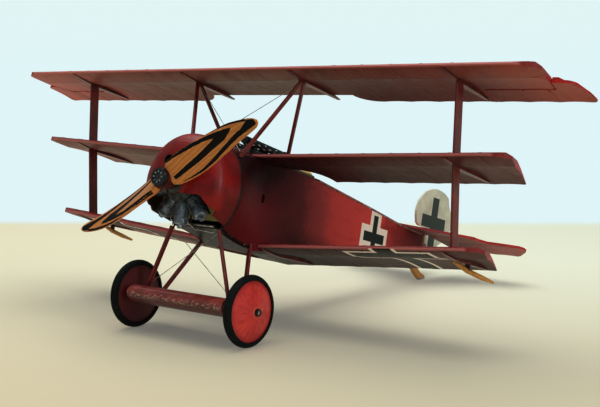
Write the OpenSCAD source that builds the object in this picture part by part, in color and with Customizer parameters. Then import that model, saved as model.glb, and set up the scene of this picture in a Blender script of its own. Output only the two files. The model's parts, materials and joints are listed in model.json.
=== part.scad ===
// Scale model of a rotary-engined fighter triplane, standing on its wheels and tail skid.
// Shapes are drawn in the airframe frame: X to port, Y aft, Z up, with the origin on the thrust
// line at the front of the propeller hub. stand() then tips the airframe into its parked stance.

/* [Wings] */
// Chord of all three wings
chord = 30.3; // [30:0.1:30.6]
// Angle of the upper wing to the thrust line, leading edge up
upper_incidence = 5.5; // [5:0.1:6]
// Angle of the middle wing to the thrust line
middle_incidence = 5; // [4.5:0.1:5.5]
// Angle of the lower wing to the thrust line
lower_incidence = 4.4; // [4:0.1:5]
// Half-span of the upper wing's fixed tips
upper_half = 103; // [102:0.1:103.5]
// Half-span over the aileron horns
horn_half = 109.1; // [108.6:0.1:110]
// Half-span of the middle wing
middle_half = 94.4; // [93:0.1:96]
// Half-span of the lower wing
lower_half = 87; // [86:0.1:88]
// Dihedral of the middle wing
middle_dihedral = 2.3; // [2:0.1:2.6]
// Dihedral of the lower wing
lower_dihedral = 4.2; // [4:0.1:4.4]
// Distance of the interplane struts from the centre line
strut_x = 75.8; // [75:0.1:76.4]
// Spacing of the wing ribs, which scallop the trailing edges
rib_pitch = 9.8; // [9:0.1:11]

/* [Fuselage] */
// Half-width of the slab-sided fuselage
body_half = 10.6; // [10.4:0.1:10.8]
// Radius of the round front end behind the cowling
nose_r = 15.3; // [15.2:0.05:15.35]
// Thickness of the skin panels
skin = 0.7; // [0.6:0.05:0.9]

/* [Engine] */
// Number of cylinders of the rotary engine
cylinder_count = 9; // [7:2:9]
// Radius over the cylinder heads
engine_r = 13.6; // [13:0.1:13.9]
// Propeller diameter
prop_d = 73.4; // [70:0.2:76]
// Angle of the port blade above level
blade_angle = 29; // [0:1:90]

/* [Landing gear] */
// Radius of the tyres
tyre_r = 10.8; // [10.6:0.1:11]
// Distance of the wheels' centre planes from the centre line
wheel_x = 23.6; // [23.4:0.1:24]
// Diameter of the axle
axle_d = 1.2; // [1.1:0.05:1.3]

/* [Control surfaces] */
// Angle by which the elevator hangs at rest
elevator_droop = 11; // [6:1:14]
// Diameter of the hinge pins
pin_d = 0.4; // [0.35:0.05:0.45]

/* [Hidden] */
fine = 48;
running = 0.05;              // radial clearance of every turning fit
red = "firebrick";
dark_red = "darkred";

// Leading edges [y, z] at the centre line (upper) and at the fuselage side (middle, lower)
upper_le = [23.9, 38.95];
middle_le = [31.4, 12.95];
lower_le = [37.5, -14.7];

// Wheels, skid and stance
axle = [22.6, -34.9];
skid_foot = [155.6, -12.7];
foot_run = norm(skid_foot - axle);
stance = asin(tyre_r / foot_run) + atan2(skid_foot[1] - axle[1], skid_foot[0] - axle[0]);
stand_z = axle[0] * sin(stance) - axle[1] * cos(stance) + tyre_r;
stand_y = -85.3;

// Stations of the fuselage
nose_y = 19.7;
cockpit_y = 47.6;
seat_y = 64.5;
tail_y = 151.9;
fin_apex_y = 130;

// Tailplane, elevator and rudder
tail_pitch = 2;
tail_t = 0.9;
tail_apex = [129.9, 6.25];
elevator_hinge = 22.4;       // distance of the hinge line behind the tailplane's apex
elevator_chord = 16.2;
tail_half = 42;
rudder_y = 154.9;
aileron_hinge = 0.70;
aileron_x = 78.9;
gap = 0.35;

// ---- helpers ----

module stand() translate([0, stand_y, stand_z]) rotate([-stance, 0, 0]) children();

function mix(a, b, t) = a + (b - a) * t;
function smooth(t) = let (u = max(0, min(1, t))) u * u * (3 - 2 * u);

// A flat outline drawn in the side view (2D x is aft, 2D y is up), extruded to port from x0 to x1
module side_view(x0, x1) translate([x0, 0, 0]) rotate([90, 0, 90]) linear_extrude(x1 - x0) children();

// A flat outline drawn in the front view (2D x to port, 2D y up), extruded aft from y0 to y1
module front_view(y0, y1) translate([0, y1, 0]) rotate([90, 0, 0]) linear_extrude(y1 - y0) children();

// Both halves of a mirrored pair
module pair() {
    children();
    mirror([1, 0, 0]) children();
}

module stadium(w, t) {
    square([t, w - t], center = true);
    for (s = [-1, 1]) translate([0, s * (w - t) / 2]) circle(d = t, $fn = 32);
}

// Carries its children from the Z axis onto the line from a to b, without twisting them
module along(a, b) {
    v = b - a;
    turn = atan2(v[1], v[0]);
    translate(a) rotate([0, acos(v[2] / norm(v)), turn]) rotate([0, 0, -turn]) children();
}

module rod(a, b, d) along(a, b) cylinder(h = norm(b - a), d = d, $fn = fine);

module bar(a, b, w, t) along(a, b) linear_extrude(norm(b - a)) stadium(w, t);

function port(p) = [-p[0], p[1], p[2]];

// ---- wing section ----

// Height of the upper and lower surface over the chord line, as fractions of the chord
function hump(t, s) = 5 * t * (0.2969 * sqrt(s) - 0.126 * s - 0.3516 * s * s
    + 0.2843 * pow(s, 3) - 0.1015 * pow(s, 4));
function upper_f(s) = hump(0.115, s) + 0.014 * s * (1 - s) + 0.008 * s;
crease = 0.28;
function hollow(u) = -0.025 * (1 - u) * (1 - u) + 0.072 * u * (1 - u);
function lower_f(s) = s < crease ? -hump(0.05, s) : hollow((s - crease) / (1 - crease));

nose_s = [for (i = [0:7]) crease * pow(i / 7, 2)];
tail_s = [for (i = [1:9]) mix(crease, 1, i / 9)];
stations = concat(nose_s, tail_s);
last_s = len(stations) - 1;
aerofoil = concat(
    [for (i = [last_s:-1:0]) chord * [stations[i], upper_f(stations[i])]],
    [for (i = [1:last_s]) chord * [stations[i], lower_f(stations[i])]]);

// Places a wing's own frame (x out along the panel, y back along the chord) in the airframe
module upper_frame() translate([0, upper_le[0], upper_le[1]]) rotate([-upper_incidence, 0, 0]) children();
module panel_frame(le, dihedral, angle) translate([body_half, le[0], le[1]]) rotate([0, -dihedral, 0])
    rotate([-angle, 0, 0]) translate([-body_half, 0, 0]) children();
module middle_frame() panel_frame(middle_le, middle_dihedral, middle_incidence) children();
module lower_frame() panel_frame(lower_le, lower_dihedral, lower_incidence) children();

module wing_block(x0, x1) side_view(x0, x1) polygon(aerofoil);

// The space a tip may fill: the top and bottom surfaces close in on the edge over the last part of
// the span, out to x = end; the edge itself is edge_t thick
edge_t = 0.7;
fade = 13;
module tip_fade(end) front_view(-5, 40) polygon(concat([[-5, -3], [-5, 4]],
    [for (i = [0:4]) let (t = i / 4) [end - fade * (1 - t), 0.25 + edge_t + 2.2 * sqrt(1 - t * t)]],
    [[end + 12, 0.25 + edge_t], [end + 12, -0.05]],
    [for (i = [4:-1:0]) let (t = i / 4) [end - fade * (1 - t), -0.05 - 0.9 * sqrt(1 - t * t)]]));

// Points of a scalloped trailing edge from x0 in to x1, at the given distance behind the nose
scallop = 0.45;
function edge_points(x0, x1, y) = let (bays = max(1, round(abs(x0 - x1) / rib_pitch)), n = bays * 4)
    [for (i = [0:n]) let (f = i / 4 - floor(i / 4)) [mix(x0, x1, i / n), y - scallop * 4 * f * (1 - f)]];

function tip_curve(x0, x1, y1) = [for (a = [0:15:90]) [x0 + (x1 - x0) * sin(a),
    -0.3 + (y1 + 0.3) * (1 - cos(a))]];

// Plan of the upper wing's fixed port half, with the centre cut-out and the aileron bay
hinge_s = aileron_hinge * chord;
bay_y = hinge_s - 0.95;
tip_y = 0.17 * chord;
tip_rake = 0.19;              // how far the tips lean in for each unit of chord
function tip_x(y) = upper_half - tip_rake * (y - tip_y);
cut_x = 39;
cut_depth = 5.2;
upper_plan = concat([[0, -0.3]], tip_curve(94, upper_half, tip_y), [[tip_x(bay_y), bay_y],
    [aileron_x - gap, bay_y], [aileron_x - gap, chord + 1]], edge_points(aileron_x - gap - 0.01,
        cut_x, chord),
    [for (a = [15:15:90]) [cut_x - 9 * sin(a), chord - cut_depth * (1 - cos(a))]],
    [[0, chord - cut_depth]]);

horn_y = 0.5 * chord;
function arc_pts(c, r, a0, a1, n) = [for (i = [0:n]) c + r * [cos(mix(a0, a1, i / n)), sin(mix(a0, a1,
    i / n))]];
aileron_plan = concat([[aileron_x, hinge_s], [tip_x(hinge_s) + gap, hinge_s], [tip_x(horn_y) + gap,
    horn_y]],
    arc_pts([horn_half - 4.4, horn_y + 3.2], 3.2, -90, -15, 4),
    arc_pts([horn_half - 1.4, chord - 1.4], 1.4, -10, 90, 4),
    edge_points(horn_half - 2, aileron_x, chord));

// Plan of a middle wing panel: raked tip and a rounded cut-out beside the cockpit
middle_te_x = 87;
root_cut = [19.7, 0.5 * chord];
middle_plan = concat([[body_half, -0.3]], tip_curve(86, middle_half, tip_y),
    [[middle_te_x, chord - 0.2]], edge_points(middle_te_x - 0.6, root_cut[0], chord),
    [for (a = [15:15:90]) [root_cut[0] - (root_cut[0] - body_half) * (1 - cos(a)),
        chord - (chord - root_cut[1]) * sin(a)]]);

lower_te_x = 78.4;
lower_plan = concat([[0, -0.3]], tip_curve(79, lower_half, tip_y),
    [[lower_te_x, chord - 0.2]], edge_points(lower_te_x - 0.6, 0, chord));

// ---- fuselage skin ----

function body_w(y) = y < seat_y ? body_half : mix(body_half, 0.6, (y - seat_y) / (tail_y - seat_y));
belly_y = 35.8;
belly_z = -16.4;
outlet_z = -12.1;
tail_low = -0.75;
function low_z(y) = y < belly_y ? mix(outlet_z, belly_z, (y - nose_y) / (belly_y - nose_y))
    : mix(belly_z, tail_low, (y - belly_y) / (tail_y - belly_y));
function high_z(y) = lookup(y, [[nose_y, 12.1], [cockpit_y, 11.9], [seat_y, 11.1], [108.3, 7.7],
    [fin_apex_y, 5.78], [150.4, 5.05], [tail_y, 4.75]]);
function crown(y) = lookup(y, [[seat_y, 1.5], [108.3, 0.9], [fin_apex_y, 0.05]]);

side_rows = 10;
blend_y = 37.5;
// Point on the port side at station y, from the bottom (t = 0) to the top (t = 1), set in by d
function side_pt(y, t, d) = let (w = smooth((y - nose_y) / (blend_y - nose_y)), z = mix(low_z(y),
    high_z(y), t),
    round_x = sqrt(max(1, nose_r * nose_r - z * z))) [mix(round_x, body_w(y), w) - d, y, z];

side_ys = [nose_y, 21.5, 23.5, 25.5, 27.5, 29.5, 31.5, 33.5, belly_y, blend_y, cockpit_y, seat_y, 108.3,
    fin_apex_y, 150.4, tail_y];

// A closed sheet between two grids of points: outer[i][j] and inner[i][j]
module sheet(outer, inner) {
    m = len(outer);
    n = len(outer[0]);
    pts = concat([for (r = outer) each r], [for (r = inner) each r]);
    function o(i, j) = i * n + j;
    function q(i, j) = m * n + i * n + j;
    function quad(a, b, c, d) = [[a, b, c], [a, c, d]];
    faces = concat(
        [for (i = [0:m - 2], j = [0:n - 2]) each quad(o(i, j), o(i, j + 1), o(i + 1, j + 1), o(i + 1,
            j))],
        [for (i = [0:m - 2], j = [0:n - 2]) each quad(q(i, j), q(i + 1, j), q(i + 1, j + 1), q(i,
            j + 1))],
        [for (i = [0:m - 2]) each quad(o(i, 0), o(i + 1, 0), q(i + 1, 0), q(i, 0))],
        [for (i = [0:m - 2]) each quad(o(i, n - 1), q(i, n - 1), q(i + 1, n - 1), o(i + 1, n - 1))],
        [for (j = [0:n - 2]) each quad(o(0, j), q(0, j), q(0, j + 1), o(0, j + 1))],
        [for (j = [0:n - 2]) each quad(o(m - 1, j), o(m - 1, j + 1), q(m - 1, j + 1), q(m - 1, j))]);
    polyhedron(pts, faces, convexity = 6);
}

inspection_hole = [36.4, 0.3];
module side_panel() difference() {
    sheet([for (y = side_ys) [for (j = [0:side_rows]) side_pt(y, j / side_rows, 0)]],
        [for (y = side_ys) [for (j = [0:side_rows]) side_pt(y, j / side_rows, min(skin,
            body_w(y) - 0.1))]]);
    lower_frame() wing_block(5, 15);
    translate([5, inspection_hole[0], inspection_hole[1]]) rotate([0, 90, 0])
        linear_extrude(10) rotate([0, 0, 90]) stadium(2.7, 1.8);
}

module fuselage_side_port() stand() color(red) side_panel();
module fuselage_side_starboard() stand() color(red) mirror([1, 0, 0]) side_panel();

// A flat panel across the bottom, between the side panels
function belly_row(y, up) = let (x = side_pt(y, 0, 0)[0] - min(skin, body_w(y) - 0.1) - 0.01)
    [[-x, y, low_z(y) + up], [x, y, low_z(y) + up]];
module belly(ys) sheet([for (y = ys) [for (p = belly_row(y, skin)) p]],
    [for (y = ys) [for (p = belly_row(y, 0)) p]]);

module front_belly() stand() color("dimgray") difference() {
    belly([nose_y, 23.5, 27.5, 31.5, belly_y, 39.5]);
    pair() lower_frame() wing_block(-2, 15);
}
module rear_belly() stand() color(dark_red) difference() {
    belly([51, seat_y, 108.3, fin_apex_y, 150.4, tail_y]);
    pair() lower_frame() wing_block(-2, 15);
}

deck_t = 0.6;
module deck_ring(r) intersection() {
    circle(r = r, $fn = 96);
    translate([-20, 12.15]) square([40, 20]);
}
module front_decking() stand() color(red) front_view(nose_y, cockpit_y) difference() {
    deck_ring(nose_r);
    circle(r = nose_r - deck_t, $fn = 96);
}

deck_rows = 12;
function deck_pt(y, t, d) = let (x = body_w(y) * (1 - 2 * t)) [x, y,
    high_z(y) + 0.01 + crown(y) * (4 * t * (1 - t)) + d];
rear_ys = [seat_y, 75, 86, 97, 108.3, 119, 129];
module rear_decking() stand() color(red) sheet(
    [for (y = rear_ys) [for (j = [0:deck_rows]) deck_pt(y, j / deck_rows, 0.45)]],
    [for (y = rear_ys) [for (j = [0:deck_rows]) deck_pt(y, j / deck_rows, 0)]]);

// ---- cockpit ----

rim_d = 1.3;
rim_x = 9.6;
rim_front = cockpit_y + 0.8;
rim_run = seat_y - 0.9 - rim_front;
rim_corner = 3;
rim_z = 12.45;
rim_pitch = 2.4;
// Centre line of the padded rim, all the way round the opening
rim_corners = [[rim_x - rim_corner, rim_run - rim_corner], [rim_corner - rim_x, rim_run - rim_corner],
    [rim_corner - rim_x, rim_corner], [rim_x - rim_corner, rim_corner]];
rim_path = [for (k = [0:3], a = [0:18:90]) let (b = a + 90 * k)
    [rim_corners[k][0] + rim_corner * cos(b), rim_corners[k][1] + rim_corner * sin(b), b]];
rim_sides = 14;
rim_pts = [for (p = rim_path, k = [0:rim_sides - 1]) let (e = 360 * k / rim_sides, r = rim_d / 2 * cos(e))
    [p[0] + r * cos(p[2]), p[1] + r * sin(p[2]), rim_d / 2 * sin(e)]];
rim_faces = [for (i = [0:len(rim_path) - 1], k = [0:rim_sides - 1]) let (i2 = (i + 1) % len(rim_path),
    k2 = (k + 1) % rim_sides, a = i * rim_sides, b = i2 * rim_sides)
    each [[a + k, a + k2, b + k2], [a + k, b + k2, b + k]]];
module cockpit_coaming() stand() color("dimgray") translate([0, rim_front, rim_z]) rotate([-rim_pitch,
    0, 0])
    polyhedron(rim_pts, rim_faces, convexity = 4);

panel_t = 0.6;
module instrument_panel() stand() color("saddlebrown") {
    front_view(cockpit_y - 4 - panel_t, cockpit_y - 4) difference() {
        circle(r = nose_r - deck_t - 0.05, $fn = 96);
        translate([-20, -20]) square([40, 25]);
        for (s = [-1, 1]) translate([s * (body_half - skin - 0.05), 0]) translate([s > 0 ? 0 : -20,
            -20]) square([20, 40]);
    }
    for (p = [[0, 9.6], [-4, 8.6], [4, 8.6]]) front_view(cockpit_y - 4, cockpit_y - 3.6) translate(p)
        circle(d = 2.4, $fn = 32);
}

module seat_bulkhead() stand() color("peru") front_view(seat_y - 0.8, seat_y) polygon([
    [-(body_half - skin - 0.05), -9.4], [body_half - skin - 0.05, -9.4],
    [body_half - skin - 0.05, 10.9], [-(body_half - skin - 0.05), 10.9]]);

floor_z = -8.4;
module cockpit_floor() stand() color("peru") translate([-(body_half - skin - 0.05), 27, floor_z - 0.6])
    cube([2 * (body_half - skin - 0.05), seat_y - 0.85 - 27, 0.6]);

seat_w = 5.2;
seat_base = 52.5;
seat_top = 4.2;
module seat() stand() color("goldenrod") {
    difference() {
        side_view(-seat_w, seat_w) polygon([[seat_base, -3.6], [61.2, -4.4], [63.3, seat_top], [61.9,
            seat_top],
            [60.2, -2.6], [53.4, -2.2], [52.6, -1.2]]);
        side_view(-seat_w + 0.6, seat_w - 0.6) polygon([[53, -2.9], [60.6, -3.5], [61.6, 0], [59.9,
            -1.8], [53.6, -1.4]]);
    }
    for (s = [-1, 1], y = [54, 60]) rod([s * 4.4, y, floor_z], [s * 4.4, y, -3.75], 0.6);
}

stick_y = 49;
module control_stick() stand() color("dimgray") {
    rod([0, stick_y, floor_z], [0, stick_y + 0.6, 0.2], 0.7);
    rod([-1.3, stick_y + 0.62, 0.5], [1.3, stick_y + 0.62, 0.5], 0.6);
}
module rudder_bar() stand() color("silver") {
    translate([0, 40, floor_z]) cylinder(h = 1.8, d = 1, $fn = 32);
    translate([0, 40, floor_z + 1.8]) rotate([90, 0, 90]) translate([0, 0.4, -6]) cylinder(h = 12,
        d = 0.8, $fn = 32);
}

// ---- nose ----

firewall_z = -9.8;
module firewall() stand() color("olivedrab") difference() {
    front_view(nose_y - 1.5, nose_y - 0.01) difference() {
        circle(r = nose_r - 0.05, $fn = 96);
        translate([-20, -20]) square([40, 20 + firewall_z]);
    }
    crank_bore(shaft_d / 2);
}

shaft_d = 2.4;
module crank_bore(r) translate([0, -1, 0]) rotate([-90, 0, 0]) cylinder(h = 30, r = r, $fn = fine);

cowl_r = 16.05;
cowl_t = 0.55;
cowl_front = 6.9;
cowl_hole = 4.6;
dome_r = 7.6;                // the face is flat out to here and domed beyond, back to dome_y
dome_y = 13.4;
// Profile of the cowling's outer surface, set in by d: [radius, y]
function cowl_profile(d) = concat([[cowl_hole + d, cowl_front + d - 0.9], [cowl_hole + 1.2 + d * 0.6,
    cowl_front + d]],
    [for (a = [90:-9:0]) [dome_r + (cowl_r - 0.3 - d - dome_r) * cos(a),
        dome_y - (dome_y - cowl_front - d) * sin(a)]],
    [[cowl_r - d, nose_y + 0.3]]);
// The space taken by the cowling's rear edge
module cowl_ring() translate([0, 12, 0]) rotate([-90, 0, 0]) difference() {
    cylinder(h = 8.05, r = cowl_r + 0.01, $fn = 96);
    translate([0, 0, -1]) cylinder(h = 10, r = cowl_r - cowl_t - 0.2, $fn = 96);
}
module cowling() stand() color(red) difference() {
    rotate([-90, 0, 0]) rotate_extrude($fn = 96)
        polygon(concat(cowl_profile(0), [for (i = [len(cowl_profile(0)) - 1:-1:0])
            cowl_profile(cowl_t)[i]]));
    side_view(-20, 20) polygon([[4, -7.2], [6.7, -7.2], [21, -11.3], [21, -20], [4, -20]]);
    front_view(4, 12.5) polygon([[-16.4, -9.6], [-16.4, -8.3], [-13.6, -7.4], [-10.6, -3.5], [10.6, -3.5],
        [13.6, -7.4], [16.4, -8.3], [16.4, -9.6]]);
    for (s = [-1, 1]) translate([s * 3.55, 4, 6.15]) rotate([-90, 0, 0]) cylinder(h = 6, r = 1.8,
        $fn = 32);
}

module crankshaft() stand() color("gray") {
    translate([0, hub_back + 0.7, 0]) rotate([-90, 0, 0]) cylinder(h = 23.6 - hub_back - 0.7,
        d = shaft_d, $fn = fine);
    translate([0, 17, 0]) rotate([-90, 0, 0]) cylinder(h = 1.2, d = 7, $fn = fine);
}

module drain_pipes() stand() color("silver") {
    rod([-3.2, 17.8, -10.2], [1.6, 18.2, -13.0], 0.7);
    rod([1.2, 18.2, -12.8], [8.6, 18.8, -13.3], 0.6);
    rod([-8.2, 18.7, -11.4], [8.2, 18.7, -11.4], 0.8);
}

case_r = 6.0;
hub_back = 5.0;              // rear face of the propeller's hub
case_front = 9.2;
case_back = 16.2;
engine_y = 12.6;
barrel_z = 5.55;             // radius at which the barrels seat in the crankcase
module crankcase() stand() color("gray") difference() {
    rotate([-90, 0, 0]) rotate_extrude($fn = fine) polygon([[0, 3.75], [1.29, 3.75], [1.29,
        hub_back + 0.01], [2.6, hub_back + 0.01], [2.6, 6.6], [3.6, 7.6], [3.6, 8.4],
        [case_r - 0.6, case_front], [case_r, case_front + 0.6], [case_r, case_back - 0.5],
            [case_r - 0.5, case_back],
        [0, case_back]]);
    translate([0, hub_back + 0.5, 0]) rotate([-90, 0, 0]) cylinder(h = 20, r = shaft_d / 2 + running,
        $fn = fine);
    around(cylinder_count) translate([0, engine_y, barrel_z]) cylinder(h = 5, r = barrel_r, $fn = 32);
}

module around(count) for (i = [0:count - 1]) rotate([0, i * 360 / count + 180, 0]) children();

barrel_r = 2.0;
fin_r = 2.35;
fin_pitch = 0.6;
fins = 9;
module cylinders() stand() color("slategray") around(cylinder_count) translate([0, engine_y, 0]) {
    rotate_extrude($fn = 32) polygon(concat([[0, barrel_z], [barrel_r, barrel_z]],
        [for (i = [0:fins - 1]) let (z = barrel_z + 1.2 + i * fin_pitch)
            each [[barrel_r, z], [fin_r, z + 0.06], [fin_r, z + 0.26], [barrel_r, z + 0.32]]],
        [[barrel_r, 12.1], [1.7, 12.4], [0.75, 12.4], [0.75, engine_r], [0, engine_r]]));
}

module pushrods() stand() color("lightgray") around(cylinder_count) {
    rod([0.5, case_front + 0.4, case_r + 0.1], [0.5, case_front + 0.8, 12.9], 0.36);
    rod([-1.2, case_back - 0.85, case_r + 0.1], [-1.5, case_back - 0.8, 11.8], 0.7);
}

// ---- propeller ----

// Half-widths of a blade ahead of and behind its axis, and its twist and thickness, at radius r
function lead(r) = lookup(r, [[2.4, 2.9], [3.7, 4.0], [7.2, 4.8], [13.2, 5.35], [18.6, 5.35], [25.1,
    5.0], [28.5, 4.4],
    [31.5, 3.5], [34, 2.6], [35.7, 1.8], [36.8, 1.05], [37.3, 0.5]]);
function trail(r) = lookup(r, [[2.4, 3.0], [4.2, 3.9], [7, 4.15], [9.8, 4.1], [15.3, 3.6], [18.1,
    3.05], [22.6, 2.46],
    [26.3, 1.95], [30, 1.6], [34, 1.5], [36, 1.35], [36.9, 1.0], [37.3, 0.55]]);
function twist(r) = lookup(r, [[2.4, 30], [6, 34], [10, 36], [14, 36], [20, 32], [30, 26], [37.3, 22]]);
// How far each part of a blade's axis lies behind the hub's front face
function rake(r) = lookup(r, [[2.4, 3.2], [6, 3.4], [10, 3.95], [16, 4.6], [24, 4.6], [31, 4.0],
    [37.3, 3.0]]);
function half_t(r) = lookup(r, [[2.4, 1.35], [9, 1.0], [20, 0.8], [33, 0.55], [37.3, 0.35]]);
blade_rs = [2.4, 4, 5.9, 8, 11, 14, 17, 20, 23, 26, 28.5, 31, 33, 34.7, 36, 36.8, 37.3];
// Section of a blade: a blunt-edged lens, round the outline from the leading edge
edge_u = [[1, -0.5], [0.86, -0.9], [0.5, -1.05], [0, -1.1], [-0.5, -1.05], [-0.86, -0.95], [-1,
    -0.75], [-1, 0.75],
    [-0.86, 0.9], [-0.4, 0.95], [0.2, 0.95], [0.7, 0.9], [0.92, 0.75], [1, 0.35]];
function blade_pt(r, e) = let (c = (e[0] > 0 ? lead(r) : trail(r)) * e[0], h = half_t(r) * e[1],
    a = twist(r))
    [r * prop_d / 74.6, rake(r) + h * cos(a) - c * sin(a), c * cos(a) + h * sin(a)];
module blade() {
    n = len(edge_u);
    m = len(blade_rs);
    pts = [for (r = blade_rs, e = edge_u) blade_pt(r, e)];
    polyhedron(pts, concat([[for (j = [0:n - 1]) j]], [[for (j = [n - 1:-1:0]) (m - 1) * n + j]],
        [for (i = [0:m - 2], j = [0:n - 1]) let (k = (j + 1) % n)
            each [[i * n + j, (i + 1) * n + j, (i + 1) * n + k], [i * n + j, (i + 1) * n + k,
                i * n + k]]]),
        convexity = 4);
}
module propeller() stand() color("darkgoldenrod") rotate([0, -blade_angle, 0]) difference() {
    union() {
        rotate([-90, 0, 0]) translate([0, 0, 1.5]) cylinder(h = hub_back - 1.5, r = 3.1, $fn = fine);
        for (a = [0, 180]) rotate([0, a, 0]) blade();
    }
    rotate([-90, 0, 0]) cylinder(h = 10, r = 1.3, $fn = fine);
    rotate([-90, 0, 0]) cylinder(h = 1.5, r = 2.75, $fn = fine);
    rotate([-90, 0, 0]) translate([0, 0, hub_back]) cylinder(h = 6, r = 3.2, $fn = fine);
}

bolt_count = 8;
module hub_cap() stand() color("black") rotate([-90, 0, 0]) {
    difference() {
        cylinder(h = 1.5, r = 2.7, $fn = fine);
        translate([0, 0, -0.1]) cylinder(h = 0.5, r = 2.1, $fn = fine);
        for (i = [0:bolt_count - 1]) rotate([0, 0, i * 360 / bolt_count]) translate([1.6, 0,
            -1]) cylinder(h = 3, r = 0.28, $fn = 24);
    }
    translate([0, 0, 1.49]) cylinder(h = 2.2, r = 1.29, $fn = fine);
}
module hub_bolts() stand() color("silver") rotate([-90, 0, 0]) for (i = [0:bolt_count - 1])
    rotate([0, 0, i * 360 / bolt_count]) translate([1.6, 0, 0]) {
        translate([0, 0, 0.1]) cylinder(h = 1.4, r = 0.28, $fn = 24);
        translate([0, 0, 0.02]) cylinder(h = 0.36, r = 0.36, $fn = 6);
    }

// ---- guns ----

gun_x = 5.5;
gun_z = 17.4;
gun_pitch = 3.3;
jacket_y = 30.2;
jacket_l = 18.6;
jacket_r = 1.5;
module gun() translate([gun_x, jacket_y, gun_z]) rotate([-gun_pitch, 0, 0]) {
    difference() {
        rotate([-90, 0, 0]) cylinder(h = jacket_l, r = jacket_r, $fn = fine);
        rotate([-90, 0, 0]) translate([0, 0, -1]) cylinder(h = jacket_l, r = jacket_r - 0.3, $fn = fine);
        for (row = [0:5], a = [0:60:300]) rotate([0, a + (row % 2) * 30, 0])
            translate([-0.28, 1.4 + row * 2.8, 1]) cube([0.56, 2, 1]);
    }
    rotate([-90, 0, 0]) translate([0, 0, -1.2]) cylinder(h = jacket_l + 1.2, r = 0.9, $fn = 32);
    rotate([-90, 0, 0]) translate([0, 0, -1.4]) cylinder(h = 1.2, r = 1.1, $fn = 32);
    translate([-1.1, jacket_l, -1.9]) cube([2.2, 9.4, 3.4]);
    translate([-0.35, jacket_l + 9.4, -0.9]) cube([0.7, 1.4, 2]);
    translate([1.1, jacket_l + 4.5, -0.4]) rotate([0, 90, 0]) cylinder(h = 0.9, r = 0.45, $fn = 32);
    translate([-0.15, jacket_l + 7, 1.5]) cube([0.3, 0.8, 1.1]);
}
module gun_port() stand() color("black") gun();
module gun_starboard() stand() color("black") mirror([1, 0, 0]) gun();
module gun_brackets() stand() color("dimgray") pair() difference() {
    for (y = [33.6, 47]) translate([gun_x - 0.9, y, 12]) cube([1.8, 0.8,
        gun_z - 12 - (y > 40 ? 1.6 : 0.4)]);
    rotate([-90, 0, 0]) cylinder(h = 80, r = nose_r, $fn = 96);
    translate([gun_x, jacket_y, gun_z]) rotate([-gun_pitch, 0, 0]) rotate([-90, 0, 0])
        cylinder(h = 60, r = jacket_r, $fn = fine);
    translate([gun_x, jacket_y, gun_z]) rotate([-gun_pitch, 0, 0]) translate([-1.1, jacket_l,
        -1.9]) cube([2.2, 9.4, 3.4]);
}

// ---- wings ----

lug_xs = [82.5, 90.5, 98.2];
lug_w = 0.7;
hinge_z = chord * (upper_f(aileron_hinge) + lower_f(aileron_hinge)) / 2;
nose_tube_r = 0.6;

module upper_wing() stand() color(red) upper_frame() difference() {
    union() {
        pair() intersection() {
            wing_block(0, 110);
            translate([0, 0, -5]) linear_extrude(12) polygon(upper_plan);
            tip_fade(upper_half);
        }
        pair() for (x = lug_xs) {
            translate([x - lug_w / 2, hinge_s, hinge_z]) rotate([0, 90, 0]) cylinder(h = lug_w,
                r = 0.42, $fn = 32);
            translate([x - lug_w / 2, bay_y - 0.5, hinge_z - 0.3]) cube([lug_w, hinge_s - bay_y + 0.5,
                0.6]);
        }
    }
    pair() translate([aileron_x, hinge_s, hinge_z]) rotate([0, 90, 0]) cylinder(h = 20, d = pin_d,
        $fn = 32);
}

module aileron() upper_frame() difference() {
    union() {
        intersection() {
            wing_block(aileron_x, horn_half + 1);
            translate([0, 0, -5]) linear_extrude(12) polygon(aileron_plan);
            tip_fade(upper_half + 2);
        }
        translate([aileron_x, hinge_s, hinge_z]) rotate([0, 90, 0])
            cylinder(h = tip_x(hinge_s) - aileron_x - 0.1, r = nose_tube_r, $fn = 32);
    }
    translate([aileron_x - 1, hinge_s, hinge_z]) rotate([0, 90, 0])
        cylinder(h = 22, r = pin_d / 2 + running, $fn = 32);
    for (x = lug_xs) translate([x - lug_w / 2 - 0.15, hinge_s, hinge_z]) rotate([0, 90, 0])
        cylinder(h = lug_w + 0.3, r = 0.8, $fn = 32);
}
module aileron_port() stand() color(red) aileron();
module aileron_starboard() stand() color(red) mirror([1, 0, 0]) aileron();

module middle_panel() intersection() {
    middle_frame() wing_block(0, 100);
    middle_frame() translate([0, 0, -5]) linear_extrude(12) polygon(concat([[body_half - 2, -0.3]],
        middle_plan,
        [[body_half - 2, root_cut[1]]]));
    middle_frame() tip_fade(middle_half);
    translate([body_half + 0.01, 0, -20]) cube([100, 100, 60]);
}
module middle_wing_port() stand() color(red) middle_panel();
module middle_wing_starboard() stand() color(red) mirror([1, 0, 0]) middle_panel();

module lower_panel() intersection() {
    lower_frame() translate([-2, 0, 0]) wing_block(0, 100);
    lower_frame() translate([0, 0, -5]) linear_extrude(12) polygon(concat([[-3, -0.3]], lower_plan,
        [[-3, chord]]));
    lower_frame() tip_fade(lower_half);
    translate([0.005, 0, -40]) cube([120, 100, 80]);
}
module lower_wing_port() stand() color(red) lower_panel();
module lower_wing_starboard() stand() color(red) mirror([1, 0, 0]) lower_panel();

// Fillets that carry the middle wing's section on to the rounded decking
module wing_roots() stand() color(dark_red) pair() difference() {
    translate([0, middle_le[0], middle_le[1]]) rotate([-middle_incidence, 0, 0]) intersection() {
        wing_block(7, body_half);
        translate([0, -1, -5]) cube([20, 1 + root_cut[1], 12]);
    }
    rotate([-90, 0, 0]) cylinder(h = 80, r = nose_r, $fn = 96);
    translate([0, 0, 12.15 - 20]) cube([30, 80, 20]);
}

// ---- keels and struts ----

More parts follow.
